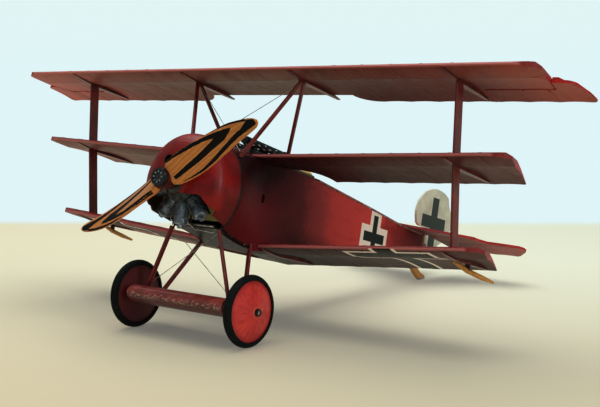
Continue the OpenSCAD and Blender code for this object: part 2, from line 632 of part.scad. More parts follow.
keel_w = 1.3;
keel_wide = 2.3;
keel_low_w = 1.7;
keel_end = 0.94;
keel_s = [for (s = stations) if (s > 0.01 && s < keel_end) s];
function keel_low(s) = s < 0.33 ? mix(lower_f(0.02) - 0.002, -0.046, sqrt((s - 0.01) / 0.32))
    : mix(-0.046, -0.004, (s - 0.33) / (keel_end - 0.33));
keel_side = concat([for (s = keel_s) chord * [s, lower_f(s)]], [chord * [keel_end, lower_f(keel_end)]],
    [chord * [keel_end, keel_low(keel_end)]], [for (i = [len(keel_s) - 1:-1:0]) chord * [keel_s[i],
        keel_low(keel_s[i])]]);
function keel_half(s, w) = w / 2 * (0.35 + 0.65 * sin(180 * pow(s, 0.7)));
keel_plan_s = [for (i = [0:10]) i / 10];
module keel(x, w = keel_w) intersection() {
    side_view(x - w, x + w) polygon(keel_side);
    translate([x, 0, -6]) linear_extrude(12) polygon(concat(
        [for (s = keel_plan_s) [keel_half(s, w), s * chord]],
        [for (i = [10:-1:0]) [-keel_half(keel_plan_s[i], w), keel_plan_s[i] * chord]]));
}

strut_w = 3.8;
strut_t = 0.75;
upper_foot = [strut_x, 34.9, 38.6];
middle_foot = [strut_x, 39.4, 14.6];
lower_foot = [strut_x, 44.9, -9.2];
module upper_strut() bar(middle_foot, upper_foot, strut_w, strut_t);
module lower_strut() bar(lower_foot, middle_foot, strut_w, strut_t);

cabane_x = 22.5;
root_keel_x = 11.6;
module keel_ribs() stand() color(dark_red) pair() difference() {
    union() {
        upper_frame() {
            keel(strut_x, keel_wide);
            keel(cabane_x, keel_wide);
        }
        middle_frame() keel(strut_x, keel_wide);
        lower_frame() {
            keel(strut_x, keel_low_w);
            keel(root_keel_x);
        }
    }
    upper_strut();
    lower_strut();
    cabane_bars();
}

module interplane_struts() {
    difference() {
        upper_strut();
        upper_frame() wing_block(strut_x - 3, strut_x + 3);
        middle_frame() wing_block(strut_x - 3, strut_x + 3);
    }
    difference() {
        lower_strut();
        middle_frame() wing_block(strut_x - 3, strut_x + 3);
        lower_frame() wing_block(strut_x - 3, strut_x + 3);
    }
}
module interplane_struts_port() stand() color(dark_red) interplane_struts();
module interplane_struts_starboard() stand() color(dark_red) mirror([1, 0, 0]) interplane_struts();

cabane_top = [cabane_x, 33.2, 38.6];
cabane_front = [body_half - 0.25, 23, 10.9];
cabane_rear = [body_half + 0.9, 44.2, 13.2];
module cabane_bars() {
    difference() {
        bar(cabane_front, cabane_top, 1.5, 0.9);
        translate([cabane_x - 10, cabane_top[1] - 0.01, 30]) cube([20, 10, 10]);
    }
    difference() {
        bar(cabane_rear, cabane_top, 1.5, 0.9);
        translate([cabane_x - 10, cabane_top[1] - 9.99, 30]) cube([20, 10, 10]);
    }
}
module cabane_struts() stand() color(dark_red) pair() difference() {
    cabane_bars();
    upper_frame() wing_block(10, 30);
    middle_frame() wing_block(8, 30);
    rotate([-90, 0, 0]) cylinder(h = 40, r = nose_r + 0.01, $fn = 96);
}

wire_d = 0.2;
gear_front_top = [9.0, 19.4, -10.4];
gear_rear_top = [9.9, 34.6, -14.4];
gear_front_foot = [17.6, 20.4, -34];
gear_rear_foot = [17.6, 26.8, -34.3];
module bracing_wires() stand() color("gray") for (s = [-1, 1]) {
    rod([s * (cabane_x - 0.4), 33.3, 37.2], [-s * (body_half - 0.6), 23, 12.6], wire_d);
    rod([s * 10.2, 19.9, -12.6], [-s * 17.1, 20.6, -31.5], wire_d);
}

// ---- landing gear ----

module gear_struts() stand() color(dark_red) pair() {
    difference() {
        bar(gear_front_top, gear_front_foot, 1.6, 0.95);
        axle_fairing(19.8);
        rotate([-90, 0, 0]) cylinder(h = 40, r = nose_r + 0.01, $fn = 96);
        cowl_ring();
    }
    difference() {
        bar(gear_rear_top, gear_rear_foot, 1.6, 0.95);
        axle_fairing(19.8);
        translate([-10, 28, -20]) cube([20.45, 12, 12]);
    }
}

fairing_y = [14.4, 30.4];
fairing_z = -34.6;
fairing_half_t = 2.8;
fairing_n = 12;
fairing_c = fairing_y[1] - fairing_y[0];
function fairing_h(s) = 2 * fairing_half_t * hump(1, s);
fairing_pts = concat([for (i = [fairing_n:-1:0]) let (s = pow(i / fairing_n, 2)) [s * fairing_c,
    fairing_h(s)]],
    [for (i = [1:fairing_n]) let (s = pow(i / fairing_n, 2)) [s * fairing_c, -fairing_h(s)]]);
module axle_fairing(half) translate([0, fairing_y[0], fairing_z]) rotate([-4, 0, 0]) side_view(-half,
    half)
    polygon(fairing_pts);
module axle_wing() stand() color(dark_red) difference() {
    axle_fairing(19.8);
    translate([-25, axle[0], axle[1]]) rotate([0, 90, 0]) cylinder(h = 50, d = axle_d, $fn = 32);
}

axle_half = 27.4;
module axle() stand() color("silver") translate([-axle_half, axle[0], axle[1]]) rotate([0, 90, 0])
    cylinder(h = 2 * axle_half, d = axle_d, $fn = 32);

module on_axle() translate([wheel_x, axle[0], axle[1]]) rotate([0, 90, 0]) children();

tyre_w = 2.7;
wheel_r = 9.15;
module tyre() on_axle() rotate_extrude($fn = 96) difference() {
    translate([tyre_r - tyre_w / 2, 0]) circle(d = tyre_w, $fn = 48);
    translate([0, -3]) square([wheel_r, 6]);
}
disc_t = 0.4;
cone_out = 2.2;
cone_in = 1.2;
module wheel_disc() on_axle() rotate_extrude($fn = 96) polygon([[1.25, 1 + cone_out], [wheel_r, 0.95],
    [wheel_r, -0.95],
    [1.25, -1 - cone_in], [1.25, -1 - cone_in + disc_t], [wheel_r - 0.6, -0.45], [wheel_r - 0.6, 0.45],
    [1.25, 1 + cone_out - disc_t]]);
module wheel_bush() on_axle() difference() {
    translate([0, 0, -1.3 - cone_in]) cylinder(h = 2.6 + cone_in + cone_out, r = 1.25, $fn = 32);
    translate([0, 0, -5]) cylinder(h = 12, r = axle_d / 2 + running, $fn = 32);
}
module port_tyre() stand() color("black") tyre();
module port_wheel_disc() stand() color("indianred") wheel_disc();
module port_wheel_bush() stand() color("dimgray") wheel_bush();
module starboard_tyre() stand() color("black") mirror([1, 0, 0]) tyre();
module starboard_wheel_disc() stand() color("indianred") mirror([1, 0, 0]) wheel_disc();
module starboard_wheel_bush() stand() color("dimgray") mirror([1, 0, 0]) wheel_bush();

module axle_retainers() stand() color("dimgray") pair() difference() {
    union() {
        translate([wheel_x + 1.3 + cone_out + 0.1, axle[0], axle[1]]) rotate([0, 90,
            0]) cylinder(h = 0.4, r = 0.95, $fn = 32);
        translate([wheel_x - 1.4 - cone_in - 0.5, axle[0], axle[1]]) rotate([0, 90,
            0]) cylinder(h = 0.4, r = 0.95, $fn = 32);
    }
    translate([0, axle[0], axle[1]]) rotate([0, 90, 0]) cylinder(h = 40, d = axle_d, $fn = 32);
}

// ---- tail ----

module tail_frame() translate([0, tail_apex[0], tail_apex[1]]) rotate([-tail_pitch, 0, 0]) children();
hinge_gap = 0.75;
tail_corner = 23.4;           // half-span of the tailplane at its rear edge
tail_plan = [[0, -0.4], [1.0, 0.3], [tail_corner, elevator_hinge - hinge_gap - 0.2],
    [tail_corner, elevator_hinge - hinge_gap], [0, elevator_hinge - hinge_gap]];
tail_lugs = [6, 14, 22];
module tail_pin_holes(r) rotate([0, 90, 0]) translate([0, 0, -24]) cylinder(h = 48, r = r, $fn = 32);
module tailplane() stand() color(dark_red) tail_frame() difference() {
    union() {
        pair() translate([0, 0, -tail_t / 2]) linear_extrude(tail_t) polygon(tail_plan);
        pair() for (x = tail_lugs) {
            translate([x - lug_w / 2, elevator_hinge, 0]) rotate([0, 90, 0]) cylinder(h = lug_w,
                r = 0.42, $fn = 32);
            translate([x - lug_w / 2, elevator_hinge - hinge_gap - 0.3, -0.3]) cube([lug_w,
                hinge_gap + 0.3, 0.6]);
        }
    }
    translate([0, elevator_hinge, 0]) tail_pin_holes(pin_d / 2);
}

elevator_v = 7.2;             // half-width at the trailing edge of the notch that clears the rudder
elevator_plan = concat([[2.4, 0], [tail_corner + 0.3, 0], [tail_corner + 1.2, 1.4], [27.6, 3.7], [36,
    4.9]],
    arc_pts([tail_half - 3, 8.4], 3, -60, 50, 5), [[37.2, elevator_chord - 1]],
    edge_points(35.5, elevator_v, elevator_chord));
module elevator() stand() color(dark_red) tail_frame() translate([0, elevator_hinge,
    0]) rotate([-elevator_droop, 0, 0])
    difference() {
        union() {
            pair() translate([0, 0, -tail_t / 2]) linear_extrude(tail_t) polygon(elevator_plan);
            rotate([0, 90, 0]) translate([0, 0, -tail_corner]) cylinder(h = 2 * tail_corner, r = 0.5,
                $fn = 32);
        }
        tail_pin_holes(pin_d / 2 + running);
        pair() for (x = tail_lugs) translate([x - lug_w / 2 - 0.15, 0, 0]) rotate([0, 90, 0])
            cylinder(h = lug_w + 0.3, r = 0.72, $fn = 32);
    }

// Rudder: a balanced comma, drawn as [y, z] from its foot up round the top
rudder_c = [159.75, 13.8];
rudder_rx = 15;
rudder_rz = 11.1;
rudder_low = -0.5;
rudder_pts = concat([[rudder_y + 0.2, rudder_low], [rudder_y + 7, 0.6], [168, 4.2], [172.2, 8],
    [174.3, 11.6],
    [174.2, 13.6], [172.6, 16.2], [170.1, 19.2]],
    [for (a = [54:9:189]) rudder_c + [rudder_rx * cos(a), rudder_rz * sin(a)]],
    [[146, 9.2], [148, 8.3], [rudder_y - 1, 8.1], [rudder_y + 0.2, 8.1]]);
rudder_t = 0.9;
post_top = 8.0;
rudder_lugs = [1.2, 7.0];
module rudder_tube(r) translate([0, rudder_y, rudder_low]) cylinder(h = post_top + 0.3 - rudder_low,
    r = r, $fn = 32);
module rudder() stand() color("ivory") difference() {
    union() {
        side_view(-rudder_t / 2, rudder_t / 2) polygon(rudder_pts);
        rudder_tube(0.58);
    }
    translate([0, rudder_y, -3]) cylinder(h = 14, r = pin_d / 2 + running, $fn = 32);
    for (z = rudder_lugs) translate([0, rudder_y, z - lug_w / 2 - 0.15]) cylinder(h = lug_w + 0.3,
        r = 0.8, $fn = 32);
}

post_y = 153.4;
module sternpost() stand() color(dark_red) difference() {
    union() {
        translate([0, post_y, -0.7]) cylinder(h = post_top + 0.5, r = 0.45, $fn = 32);
        translate([-0.5, tail_y, -0.7]) cube([1, post_y - tail_y, 5.4]);
        for (z = rudder_lugs) {
            translate([0, rudder_y, z - lug_w / 2]) cylinder(h = lug_w, r = 0.45, $fn = 32);
            translate([-0.3, post_y, z - lug_w / 2]) cube([0.6, rudder_y - post_y, lug_w]);
        }
    }
    translate([0, rudder_y, -3]) cylinder(h = 14, d = pin_d, $fn = 32);
}

module hinge_pins() stand() color("silver") {
    pair() upper_frame() translate([aileron_x + 0.3, hinge_s, hinge_z]) rotate([0, 90, 0])
        cylinder(h = tip_x(hinge_s) - aileron_x - 0.6, d = pin_d, $fn = 32);
    pair() tail_frame() translate([5, elevator_hinge, 0]) rotate([0, 90, 0]) cylinder(h = 18,
        d = pin_d, $fn = 32);
    translate([0, rudder_y, 0]) cylinder(h = 7.8, d = pin_d, $fn = 32);
}

// ---- skids ----

// The tail skid's foot is drawn level with the ground, so that its sole is flat in the stance
module tail_skid() stand() color("peru") difference() {
    side_view(-0.9, 0.9) polygon([[141.6, low_z(141.6)], [144.2, low_z(144.2)], [147.0, -5.6], [149.6,
        -8.1],
        [153.2, -10.1], [156.6, -11.1], [157.4, -11.8], [157.0, -13.2], [153.6, -13.0], [150.2, -11.2],
        [146.6, -8.9], [143.8, -5.6]]);
    stand_level(-1, 0.7);
}
// A level slab under the skid, in the airframe frame
module stand_level(z0, z1) rotate([stance, 0, 0]) translate([-5, -stand_y - 10, -stand_z + z0])
    translate([0, skid_foot[0] * cos(stance) + skid_foot[1] * sin(stance) + stand_y + 5, 0]) cube([10,
        10, z1 - z0]);
module skid_shoe() translate([-1, stand_y + skid_foot[0] * cos(stance) + skid_foot[1] * sin(stance)
    - 1.7, 0])
    color("gray") cube([2, 3.4, 0.68]);

// Centre line of a wing-tip skid as [outboard, aft, up]; it splays outwards towards its free end
tip_skid = [[74.2, 48.0, -11.9], [75.4, 55, -13.8], [76.6, 62, -14.9], [77.5, 67.8, -15.6]];
module tip_skids() stand() color("goldenrod") pair() tip_skid_rod();
tip_skid_d = [1.0, 1.5, 1.5, 0.8];
module tip_skid_rod() for (i = [0:2]) {
    along(tip_skid[i], tip_skid[i + 1])
        cylinder(h = norm(tip_skid[i + 1] - tip_skid[i]), d1 = tip_skid_d[i], d2 = tip_skid_d[i + 1],
            $fn = fine);
    if (i > 0) translate(tip_skid[i]) sphere(d = tip_skid_d[i] + 0.06, $fn = 32);
}
module skid_brackets() stand() color("dimgray") pair() difference() {
    for (p = [tip_skid[0] + [0, 0.6, 0], tip_skid[1]]) translate(p - [0.7, 0.5, 0]) cube([1.4, 1, 3.2]);
    lower_frame() wing_block(tip_skid[0][0] - 5, tip_skid[0][0] + 5);
    lower_frame() keel(strut_x, keel_low_w);
    tip_skid_rod();
}

fuselage_side_port();
fuselage_side_starboard();
front_belly();
rear_belly();
front_decking();
rear_decking();
cockpit_coaming();
instrument_panel();
seat_bulkhead();
cockpit_floor();
seat();
control_stick();
rudder_bar();
firewall();
cowling();
crankshaft();
drain_pipes();
crankcase();
cylinders();
pushrods();
propeller();
hub_cap();
hub_bolts();
gun_port();
gun_starboard();
gun_brackets();
upper_wing();
middle_wing_port();
middle_wing_starboard();
wing_roots();
lower_wing_port();
lower_wing_starboard();
keel_ribs();
interplane_struts_port();
interplane_struts_starboard();
cabane_struts();
bracing_wires();
aileron_port();
aileron_starboard();
hinge_pins();
gear_struts();
axle();
axle_wing();
port_tyre();
port_wheel_disc();
port_wheel_bush();
starboard_tyre();
starboard_wheel_disc();
starboard_wheel_bush();
axle_retainers();
tailplane();
elevator();
rudder();
sternpost();
tail_skid();
skid_shoe();
tip_skids();
skid_brackets();
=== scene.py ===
"""Looks for a scale model of a red rotary-engined triplane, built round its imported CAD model.

Lengths in the helpers are millimetres in the aeroplane's own axes: X to port, Y aft and Z up, from the
thrust line at the front of the propeller hub. The row frame is the CAD model's own, in metres, with
the model standing on its wheels and tail skid.
"""
import json
import math

import bmesh
import bpy
from mathutils import Matrix, Vector
from mathutils.bvhtree import BVHTree


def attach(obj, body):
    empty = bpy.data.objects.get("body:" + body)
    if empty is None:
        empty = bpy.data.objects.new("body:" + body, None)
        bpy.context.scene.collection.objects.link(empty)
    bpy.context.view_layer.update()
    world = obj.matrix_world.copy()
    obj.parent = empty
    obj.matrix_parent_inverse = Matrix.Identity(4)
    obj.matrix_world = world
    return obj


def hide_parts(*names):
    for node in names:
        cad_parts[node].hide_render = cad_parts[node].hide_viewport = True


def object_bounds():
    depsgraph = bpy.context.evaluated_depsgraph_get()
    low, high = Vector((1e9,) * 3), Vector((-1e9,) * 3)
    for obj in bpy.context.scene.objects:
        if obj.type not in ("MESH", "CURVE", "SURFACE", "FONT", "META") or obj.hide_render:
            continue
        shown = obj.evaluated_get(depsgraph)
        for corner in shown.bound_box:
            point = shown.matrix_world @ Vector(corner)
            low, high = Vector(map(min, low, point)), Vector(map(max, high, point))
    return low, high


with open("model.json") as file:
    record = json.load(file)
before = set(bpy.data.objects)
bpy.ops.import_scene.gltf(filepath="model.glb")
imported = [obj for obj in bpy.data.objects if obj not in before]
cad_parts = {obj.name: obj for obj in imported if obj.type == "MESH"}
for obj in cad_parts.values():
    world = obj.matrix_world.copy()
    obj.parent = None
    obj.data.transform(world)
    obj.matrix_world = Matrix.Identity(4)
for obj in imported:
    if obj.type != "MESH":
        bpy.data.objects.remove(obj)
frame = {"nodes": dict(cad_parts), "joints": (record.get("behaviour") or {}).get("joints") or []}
CAD_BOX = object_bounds()

MM = 0.001                   # metres

# ---------------- frames of reference
ENGINE = next(j for j in frame["joints"] if j["name"] == "engine_spin")
STANCE = math.atan2(ENGINE["axis"][2], -ENGINE["axis"][1])
ORIGIN = Vector(ENGINE["pos_m"])
TO_ROW = Matrix.Translation(ORIGIN) @ Matrix.Rotation(-STANCE, 4, "X") @ Matrix.Scale(MM, 4)
FROM_ROW = TO_ROW.inverted()


def row(*point):
    """A point of the aeroplane, in the row frame."""
    return TO_ROW @ Vector(point)


def aero_points(node):
    """The corners of a CAD node's mesh in the aeroplane's axes."""
    return [FROM_ROW @ v.co for v in frame["nodes"][node].data.vertices]


def aero_box(node):
    """Lowest and highest corners of a CAD node in the aeroplane's axes."""
    points = aero_points(node)
    return (Vector([min(p[i] for p in points) for i in range(3)]),
            Vector([max(p[i] for p in points) for i in range(3)]))


def srgb(r, g, b):
    """Linear colour from display values of 0 to 255."""
    def channel(v):
        v /= 255
        return v / 12.92 if v <= 0.04045 else ((v + 0.055) / 1.055) ** 2.4
    return (channel(r), channel(g), channel(b), 1.0)


def new_object(name, data):
    """An object of the scene around a mesh, a lamp or a camera."""
    thing = bpy.data.objects.new(name, data)
    bpy.context.scene.collection.objects.link(thing)
    return thing


# ---------------- shader toolkit
class Paint:
    """A material under construction. Sockets and plain numbers mix freely in its sums."""

    def __init__(self, name, rough=0.5, metal=0.0, specular=0.5, coat=0.0, coat_rough=0.1):
        self.material = bpy.data.materials.new(name)
        self.material.use_nodes = True
        self.tree = self.material.node_tree
        self.tree.nodes.clear()
        self.out = self.tree.nodes.new("ShaderNodeOutputMaterial")
        self.bsdf = self.tree.nodes.new("ShaderNodeBsdfPrincipled")
        self.tree.links.new(self.bsdf.outputs[0], self.out.inputs[0])
        for key, value in (("Roughness", rough), ("Metallic", metal), ("Specular IOR Level", specular),
                           ("Coat Weight", coat), ("Coat Roughness", coat_rough)):
            self.bsdf.inputs[key].default_value = value
        self._at = None
        self._texco = None

    def put(self, socket, value):
        """Link a socket to another, or set its value."""
        if isinstance(value, bpy.types.NodeSocket):
            self.tree.links.new(value, socket)
        elif value is not None:
            socket.default_value = value

    def texco(self):
        """The one texture coordinate node of the material."""
        if self._texco is None:
            self._texco = self.tree.nodes.new("ShaderNodeTexCoord")
        return self._texco

    def level(self, vector):
        """A vector of the row frame turned to the aeroplane's axes."""
        turn = self.tree.nodes.new("ShaderNodeVectorRotate")
        turn.rotation_type = "X_AXIS"
        turn.inputs["Angle"].default_value = STANCE
        self.put(turn.inputs["Vector"], vector)
        return turn.outputs[0]

    def at(self):
        """Place on the surface in the aeroplane's millimetres, fixed to the part as it moves."""
        if self._at is None:
            shift = self.tree.nodes.new("ShaderNodeVectorMath")
            shift.operation = "SUBTRACT"
            self.put(shift.inputs[0], self.texco().outputs["Object"])
            shift.inputs[1].default_value = ORIGIN
            grow = self.tree.nodes.new("ShaderNodeVectorMath")
            grow.operation = "SCALE"
            grow.inputs["Scale"].default_value = 1 / MM
            self.put(grow.inputs[0], self.level(shift.outputs[0]))
            self._at = grow.outputs[0]
        return self._at

    def xyz(self, vector=None):
        """Three sockets of a vector, by default of the place on the surface."""
        split = self.tree.nodes.new("ShaderNodeSeparateXYZ")
        self.put(split.inputs[0], vector or self.at())
        return split.outputs

    def normal(self):
        """Surface normal in the aeroplane's axes, as three sockets."""
        return self.xyz(self.level(self.texco().outputs["Normal"]))

    def sum(self, op, a, b=0.0):
        """One arithmetic step."""
        node = self.tree.nodes.new("ShaderNodeMath")
        node.operation = op
        for socket, value in zip(node.inputs, (a, b, 0.0)):
            self.put(socket, value)
        return node.outputs[0]

    def invert(self, mask):
        """0 where the mask is 1."""
        return self.sum("SUBTRACT", 1.0, mask)

    def length(self, a, b):
        """Length of a vector of two parts."""
        return self.sum("SQRT", self.sum("ADD", self.sum("MULTIPLY", a, a), self.sum("MULTIPLY", b, b)))

    def vector(self, x, y, z):
        node = self.tree.nodes.new("ShaderNodeCombineXYZ")
        for socket, value in zip(node.inputs, (x, y, z)):
            self.put(socket, value)
        return node.outputs[0]

    def stretch(self, x, y, z):
        """The place on the surface with its axes scaled, for patterns longer one way than another."""
        node = self.tree.nodes.new("ShaderNodeVectorMath")
        node.operation = "MULTIPLY"
        self.put(node.inputs[0], self.at())
        node.inputs[1].default_value = (x, y, z)
        return node.outputs[0]

    def noise(self, scale, detail=3.0, rough=0.55, vector=None, distortion=0.0):
        node = self.tree.nodes.new("ShaderNodeTexNoise")
        self.put(node.inputs["Vector"], vector or self.at())
        for key, value in (("Scale", scale), ("Detail", detail), ("Roughness", rough),
                           ("Distortion", distortion)):
            node.inputs[key].default_value = value
        return node.outputs[0]

    def creases(self, scale):
        """Distance to the nearest crease of a pattern of cells."""
        node = self.tree.nodes.new("ShaderNodeTexVoronoi")
        node.feature = "DISTANCE_TO_EDGE"
        self.put(node.inputs["Vector"], self.at())
        node.inputs["Scale"].default_value = scale
        return node.outputs["Distance"]

    def step(self, value, low, high, smooth=True):
        """0 below low to 1 above high."""
        node = self.tree.nodes.new("ShaderNodeMapRange")
        node.interpolation_type = "SMOOTHSTEP" if smooth else "LINEAR"
        self.put(node.inputs["Value"], value)
        for key, number in (("From Min", low), ("From Max", high), ("To Min", 0.0), ("To Max", 1.0)):
            node.inputs[key].default_value = number
        return node.outputs[0]

    def fade(self, value, low, high):
        """1 below low to 0 above high."""
        return self.invert(self.step(value, low, high))

    def window(self, value, low, high, soft=0.08):
        """1 between low and high, with soft edges."""
        return self.times(self.step(value, low - soft, low + soft),
                          self.fade(value, high - soft, high + soft))

    def times(self, *masks):
        """Where all the masks overlap."""
        total = masks[0]
        for mask in masks[1:]:
            total = self.sum("MULTIPLY", total, mask)
        return total

    def most(self, *masks):
        """Where any of the masks is."""
        total = masks[0]
        for mask in masks[1:]:
            total = self.sum("MAXIMUM", total, mask)
        return total

    def mix(self, factor, a, b):
        """Colour a where the factor is 0, and b where it is 1."""
        node = self.tree.nodes.new("ShaderNodeMix")
        node.data_type = "RGBA"
        self.put(node.inputs[0], factor)
        self.put(node.inputs[6], a)
        self.put(node.inputs[7], b)
        return node.outputs[2]

    def tint(self, colour, mask, amount, other):
        """A colour taken part of the way to another where the mask is 1."""
        return self.mix(self.sum("MULTIPLY", mask, amount), colour, other)

    def clouds(self, scale, detail, low, high, light, dark, rough=0.55):
        """Two colours in soft patches."""
        return self.mix(self.step(self.noise(scale, detail, rough), low, high), light, dark)

    def ramp(self, value, low, high, stops):
        """Colours at places between low and high. The first two stops are the ends."""
        node = self.tree.nodes.new("ShaderNodeValToRGB")
        node.color_ramp.interpolation = "EASE"
        self.put(node.inputs[0], self.step(value, low, high, smooth=False))
        items = node.color_ramp.elements
        for i, (place, colour) in enumerate(stops):
            t = (place - low) / (high - low)
            item = items[i] if i < 2 else items.new(t)
            item.position = t
            item.color = colour
        return node.outputs[0]

    def base(self, colour):
        self.put(self.bsdf.inputs["Base Color"], colour)

    def rough(self, low, pattern, amount):
        """Roughness from low upwards, following a pattern."""
        self.put(self.bsdf.inputs["Roughness"], self.sum("ADD", low, self.sum("MULTIPLY", pattern, amount)))

    def bump(self, height, distance=0.05, strength=0.5):
        """Relief of the given depth in millimetres."""
        node = self.tree.nodes.new("ShaderNodeBump")
        node.inputs["Strength"].default_value = strength
        node.inputs["Distance"].default_value = distance * MM
        self.put(node.inputs["Height"], height)
        self.put(self.bsdf.inputs["Normal"], node.outputs[0])


def mottle(p, colour, dark, light, scale=0.12, amount=0.5, fine=1.6):
    """Uneven hand-brushed coverage: broad cloudy patches and a fine speckle."""
    broad = p.step(p.noise(scale, 4, 0.6), 0.35, 0.65)
    shade = p.tint(colour, broad, amount, dark)
    speck = p.step(p.noise(fine, 3, 0.65), 0.52, 0.75)
    return p.tint(shade, speck, amount * 0.5, light)


SOOT = srgb(30, 16, 20)
RED = srgb(176, 44, 42)
RIB_PITCH = 9.8              # between the ribs of the wings
SPAN_ENDS = (-105, 105)      # where the tones along the span begin and end


# ---------------- painted fabric
def cross(p, across, along, centre, half, arm, border):
    """Masks of a straight-armed cross and of its outline."""
    def plus(extra):
        a = p.sum("ABSOLUTE", p.sum("SUBTRACT", across, centre[0]))
        b = p.sum("ABSOLUTE", p.sum("SUBTRACT", along, centre[1]))
        def below(v, limit):
            return p.fade(v, limit - 0.06, limit + 0.06)
        return p.most(p.times(below(a, half[0] + extra), below(b, arm[1] + extra)),
                      p.times(below(a, arm[0] + extra), below(b, half[1] + extra)))
    return plus(0.0), plus(border)


def doped_fabric(name, lead, chord, stops, cross_at=None, strip=0.28, front_tone=(158, 98, 90)):
    """Varnished linen over ribs: red above, and bare-looking brown tones below.

    The stops are the tones along the span, partly real paint and partly painted shade, darkest near the
    roots.
    The front strip, a fraction of the chord, has a tone of its own, partly painted light, and ends in a dark
    line.
    The tilted forward part of the upper surface is darkened as painted shade.
    """
    p = Paint(name, specular=0.16, coat=0.03, coat_rough=0.3)
    x, y = p.xyz()[:2]
    below = p.fade(p.normal()[2], -0.5, -0.05)
    span = p.ramp(x, *SPAN_ENDS, stops)
    s = p.sum("DIVIDE", p.sum("SUBTRACT", y, lead), chord)
    front = p.fade(s, strip - 0.006, strip + 0.006)
    # the front strip's own tone, partly painted light where the strip faces the light
    under = p.tint(span, front, 0.3, srgb(*front_tone))
    line = p.window(s, strip - 0.008, strip + 0.008, 0.006)
    under = p.tint(under, line, 0.65, srgb(60, 26, 26))
    slant = p.noise(0.11, 4, 0.6, p.stretch(1.0, 0.35, 1.0), 0.6)
    under = p.tint(under, p.step(slant, 0.47, 0.72), 0.55, srgb(78, 38, 36))
    weave = p.noise(2.4, 3, 0.7)
    under = p.tint(under, p.step(weave, 0.5, 0.8), 0.3, srgb(176, 130, 118))
    upper = mottle(p, RED, srgb(120, 26, 28), srgb(206, 88, 80), 0.09, 0.45)
    colour = p.mix(below, upper, under)
    # painted shade on the tilted forward part of the upper surface
    tilted = p.fade(p.normal()[2], 0.86, 0.965)
    painted_front_shade = p.times(tilted, p.fade(s, 0.3, 0.5), p.invert(below))
    colour = p.tint(colour, painted_front_shade, 0.8, srgb(124, 54, 54))
    nose = p.fade(s, 0.008, 0.028)
    colour = p.tint(colour, nose, 0.8, srgb(192, 116, 112))
    tail = p.step(s, 0.955, 0.985)
    colour = p.tint(colour, tail, 0.35, srgb(120, 52, 48))
    if cross_at:
        black, outline = cross(p, p.sum("ABSOLUTE", x), y, *cross_at)
        patch = p.tint(srgb(18, 24, 21), p.step(weave, 0.4, 0.8), 0.25, srgb(52, 58, 52))
        edge = p.mix(black, srgb(242, 226, 218), patch)
        colour = p.mix(p.times(below, outline), colour, edge)
    p.base(colour)
    p.rough(0.36, p.noise(0.5, 3), 0.25)
    taut = p.sum("ABSOLUTE", p.sum("SINE", p.sum("MULTIPLY", x, math.pi / RIB_PITCH)))
    threads = p.noise(5.5, 2, 0.6, p.stretch(1.0, 3.0, 1.0))
    p.bump(p.sum("ADD", p.sum("MULTIPLY", taut, 1.0), p.sum("MULTIPLY", threads, 0.18)), 0.14, 0.6)
    return p.material


